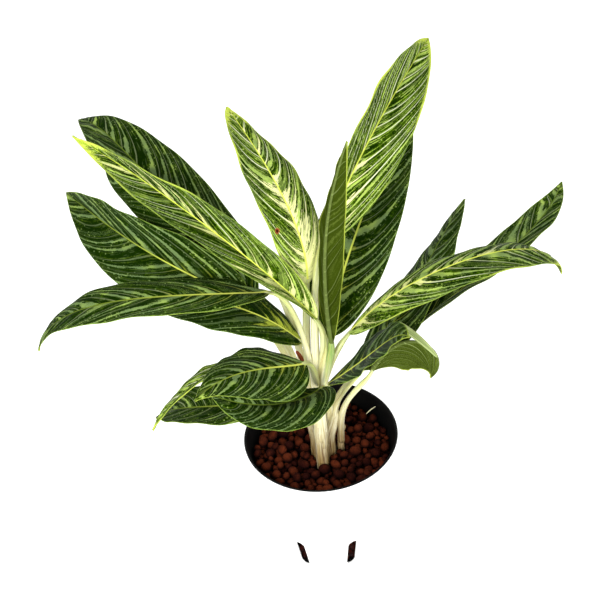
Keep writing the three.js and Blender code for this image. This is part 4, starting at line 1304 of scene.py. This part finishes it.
def make_strip(name, ends, bend, widths, material, seed, narrowing=0.0):
    """A thin body along a parabola between two ends, oval across and rounded at both ends.
    widths are half its width and half its thickness, and narrowing is how much of them it loses on
    its way to the second end."""
    t = np.linspace(0, 1, STRIP_ROWS)[:, None]
    path = between(np.array(ends), t) + 4 * t * (1 - t) * np.array(bend)
    tangent = unit(np.gradient(path, axis=0))
    aside = unit(np.cross(tangent, STRIP_FACING))
    facing = np.cross(aside, tangent)
    turn = np.linspace(0, 2 * math.pi, STRIP_SIDES, endpoint=False)
    taper = (0.2 + 0.8 * np.clip(4 * t * (1 - t), 0, 1) ** 0.35) * (1 - narrowing * t)
    sideways = widths[0] * taper * np.cos(turn)
    rise = widths[1] * taper * np.sin(turn)
    rings = path[:, None] + sideways[..., None] * aside[:, None] + rise[..., None] * facing[:, None]
    points, faces = capped_tube(rings)
    marks = stalk_marks(turn, t[:, 0] * 0.02, np.full(len(t), 0.2), 0.0, seed)
    add_piece(name, points, faces, [material], marks=marks)


# ---- leaf blades --------------------------------------------------------------------------------

BLADE_ROWS = 150
BLADE_COLUMNS = 43
MIDRIB_STRIDES = 96
BASE_POWER = 0.6
TIP_POWER = 0.95
CAMBER = 0.05  # how far each half bows up between midrib and margin, against the half width
QUILT = 0.0005  # how far the spaces between the veins stand up
RIB_DEPTH = (0.0019, 0.0002)  # the midrib's ridge under the blade, at its start and tip
RIB_WIDTH = (0.0018, 0.0006)
CHANNEL = 0.0005  # the shallow channel over the midrib
VEIN_SPACING = 0.0205
VEIN_SWEEP = (1.4, 2.4)  # how far a vein runs forward for each step sideways, at start and tip
EDGE_WAVE = 0.0008
COLUMN_CROWDING = 1.25  # how far the columns crowd towards the midrib
MARGIN_THINNING = 0.55  # how much of its thickness the blade loses at the margin
USUAL_LENGTH = 0.25  # a blade of this length has veins at VEIN_SPACING


def half_width(leaf, t):
    """Widest at about two fifths of its length, with a round base and a drawn-out tip: a power of t
    times a power of 1 - t, and never quite nothing."""
    widest = BASE_POWER / (BASE_POWER + TIP_POWER)
    bulge = t**BASE_POWER * (1 - t) ** TIP_POWER
    most = widest**BASE_POWER * (1 - widest) ** TIP_POWER
    least = between((BASE_HALF_WIDTH, TIP_HALF_WIDTH), t)
    return np.hypot(leaf.half_width * bulge / most, least)


def midrib(leaf, t):
    """The midrib walked in short straight strides, and read off at t."""
    middles = (np.arange(MIDRIB_STRIDES) + 0.5) / MIDRIB_STRIDES
    strides = blade_frame(leaf, middles)[0] * leaf.length / MIDRIB_STRIDES
    walked = np.vstack([leaf.start, leaf.start + np.cumsum(strides, axis=0)])
    stations = np.linspace(0, 1, MIDRIB_STRIDES + 1)
    return np.stack([np.interp(t, stations, walked[:, axis]) for axis in range(3)], axis=-1)


def vein_count(leaf, t, v, width, seed):
    """Counts the lateral veins: even steps along the midrib, carried forward as they run outwards,
    and made a little uneven by a slow wave."""
    sweep = leaf.sweep * between(VEIN_SWEEP, t)
    bend = 0.5 * np.abs(v) + 0.5 * np.abs(v) ** 2.6
    along = t * leaf.length - sweep * width * bend
    vein = along / (leaf.spacing * VEIN_SPACING * (0.55 + 0.45 * leaf.length / USUAL_LENGTH))
    slow = 0.2 * np.sin(2.3 * vein + seed)
    return vein + slow + 0.16 * np.sin(3.1 * np.abs(v) + 1.1 * vein + 2 * seed)


def blade_section(leaf, v):
    """The cross-section for a half width of 1: a straight fold, or an arc that starts at the fold and
    curls on. Gives how far sideways and up it is at v, and how it is tilted."""
    fold = np.radians(np.where(v < 0, leaf.fold[1], leaf.fold[0]))
    curl = np.radians(np.where(v < 0, leaf.curl[1], leaf.curl[0]))
    reach = np.abs(v)
    turn = np.where(curl == 0, 1.0, curl)
    bent = fold + curl * reach
    sideways = np.where(curl == 0, np.cos(fold) * reach, (np.sin(bent) - np.sin(fold)) / turn)
    rise = np.where(curl == 0, np.sin(fold) * reach, (np.cos(fold) - np.cos(bent)) / turn)
    tilt = np.sign(v) * bent
    level = math.radians(leaf.fold[0] - leaf.fold[1]) / 2
    return np.sign(v) * sideways, rise, np.where(v == 0, level, tilt)


def make_blade(name, leaf, index):
    """A thin closed sheet. The middle face is the section carried along the midrib, rippled towards
    the margin, bowed and quilted; each ring of points goes over it from the left margin to the right
    one and back underneath, where the midrib stands out as a ridge."""
    even = np.linspace(0, 1, BLADE_ROWS)
    t = (0.5 * even + 0.25 * (1 - np.cos(math.pi * even)))[:, None]
    steps = np.linspace(1, -1, BLADE_COLUMNS)
    v = (np.sign(steps) * np.abs(steps) ** COLUMN_CROWDING)[None]
    seed = 7.3 * index
    width = half_width(leaf, t)
    _, left, out = blade_frame(leaf, t[:, 0])
    sideways, rise, tilt = blade_section(leaf, v)
    vein = vein_count(leaf, t, v, width, seed)
    phase = RIPPLE_WAVES * t + 0.37 * index + 0.25 * np.sign(v)
    lift = RIPPLE * np.sin(2 * math.pi * phase) * v**2 * np.sin(math.pi * t)
    lift = lift + EDGE_WAVE * np.sin(2 * math.pi * (2.3 * phase + 0.4 * index)) * v**6 * np.sin(math.pi * t)
    lift = lift + CAMBER * width * 4 * np.abs(v) * (1 - np.abs(v)) * np.sin(math.pi * t) ** 0.5
    window = smooth_step(np.abs(v), 0.03, 0.25) * smooth_step(np.abs(v), 1.0, 0.75)
    lift = lift - QUILT * np.cos(2 * math.pi * (vein + np.where(v < 0, 0.5, 0))) * window
    side = width * v
    rib_width = between(RIB_WIDTH, t)
    lift = lift - CHANNEL * np.exp(-((side / (1.6 * rib_width)) ** 2)) * smooth_step(t, 0, 0.06)
    normal = out[:, None] * np.cos(tilt)[..., None] - left[:, None] * np.sin(tilt)[..., None]
    middle = (
        midrib(leaf, t[:, 0])[:, None]
        + (width * sideways)[..., None] * left[:, None]
        + (width * rise)[..., None] * out[:, None]
        + lift[..., None] * normal
    )
    half = BLADE_THICKNESS / 2 * (1 - MARGIN_THINNING * v**4)
    ridge = between(RIB_DEPTH, t) * np.exp(-((side / rib_width) ** 2))
    above = middle + (half + 0 * t)[..., None] * normal
    below = middle - (half + ridge)[..., None] * normal
    rings = np.concatenate([above, below[:, ::-1]], axis=1)
    points, faces = capped_tube(rings)
    marks = blade_marks(leaf, t, v, side, width, vein, seed, len(points))
    blade = add_piece(name.replace("leaf", "blade"), points, faces, [BLADE], marks=marks)
    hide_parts(name)


def blade_marks(leaf, t, v, side, width, vein, seed, count):
    """Marks of a blade's points: its vein count, its place (metres from the midrib, along it and in
    from the margin), the leaf's colours, and whether the point is on the upper face."""

    def both(values):
        """The same value above and below, and for the two end middles."""
        sheet = values + 0 * (t + v)
        ringed = np.concatenate([sheet, sheet[:, ::-1]], axis=1)
        return np.concatenate([ringed.ravel(), ringed[[0, -1], BLADE_COLUMNS // 2]])

    rim = width * (1 - np.abs(v))
    place = np.stack([both(side), both(t * leaf.length), both(rim)], axis=-1)
    upper = np.repeat([[1.0, 0.0]], BLADE_COLUMNS, axis=1).repeat(BLADE_ROWS, axis=0)
    look = np.tile([leaf.light, leaf.silver, leaf.cream], (count, 1))
    return {
        "vein": both(vein),
        "blade": place,
        "look": look,
        "spot": np.tile([*leaf.spot, 0], (count, 1)),
        "seed": np.full(count, seed),
        "upper": np.concatenate([upper.ravel(), [0, 0]]),
        "tip": both(t),
    }


# ---- the whole plant ----------------------------------------------------------------------------

set_camera()
set_light()
make_pot()
make_pebbles()
make_pebble_core()
for number, (name, shoot) in enumerate(SHOOTS.items()):
    make_stem(name, shoot, seed=number + 1)
    held = [leaf for leaf in LEAVES if LEAVES[leaf].shoot == name]
    for order, leaf in enumerate(held):
        make_petiole(leaf, LEAVES[leaf], low_share=order / len(held), seed=10 * number + order)
for index, (name, leaf) in enumerate(LEAVES.items()):
    make_blade(name, leaf, index)
make_strip(
    "dry_straw", ends=[(0.047, 0.034, 0.1378), (0.057, 0.041, 0.1400)], bend=(0, 0, 0.0008),
    widths=(0.0005, 0.0004), material=STRAW, seed=3,
)
make_strip(
    "dry_sheath", ends=[(-0.0157, -0.014, 0.2734), (-0.0100, -0.014, 0.2560)], bend=(0.001, 0, 0),
    widths=(0.0019, 0.0006), material=DRY, seed=5,
)
make_strip(
    "rolled_margin", ends=[(0.078, 0.0015, 0.2835), (0.114, -0.013, 0.249)], bend=(0.002, -0.005, 0.005),
    widths=(0.0042, 0.0012), material=ROLLED, seed=7, narrowing=0.55,
)
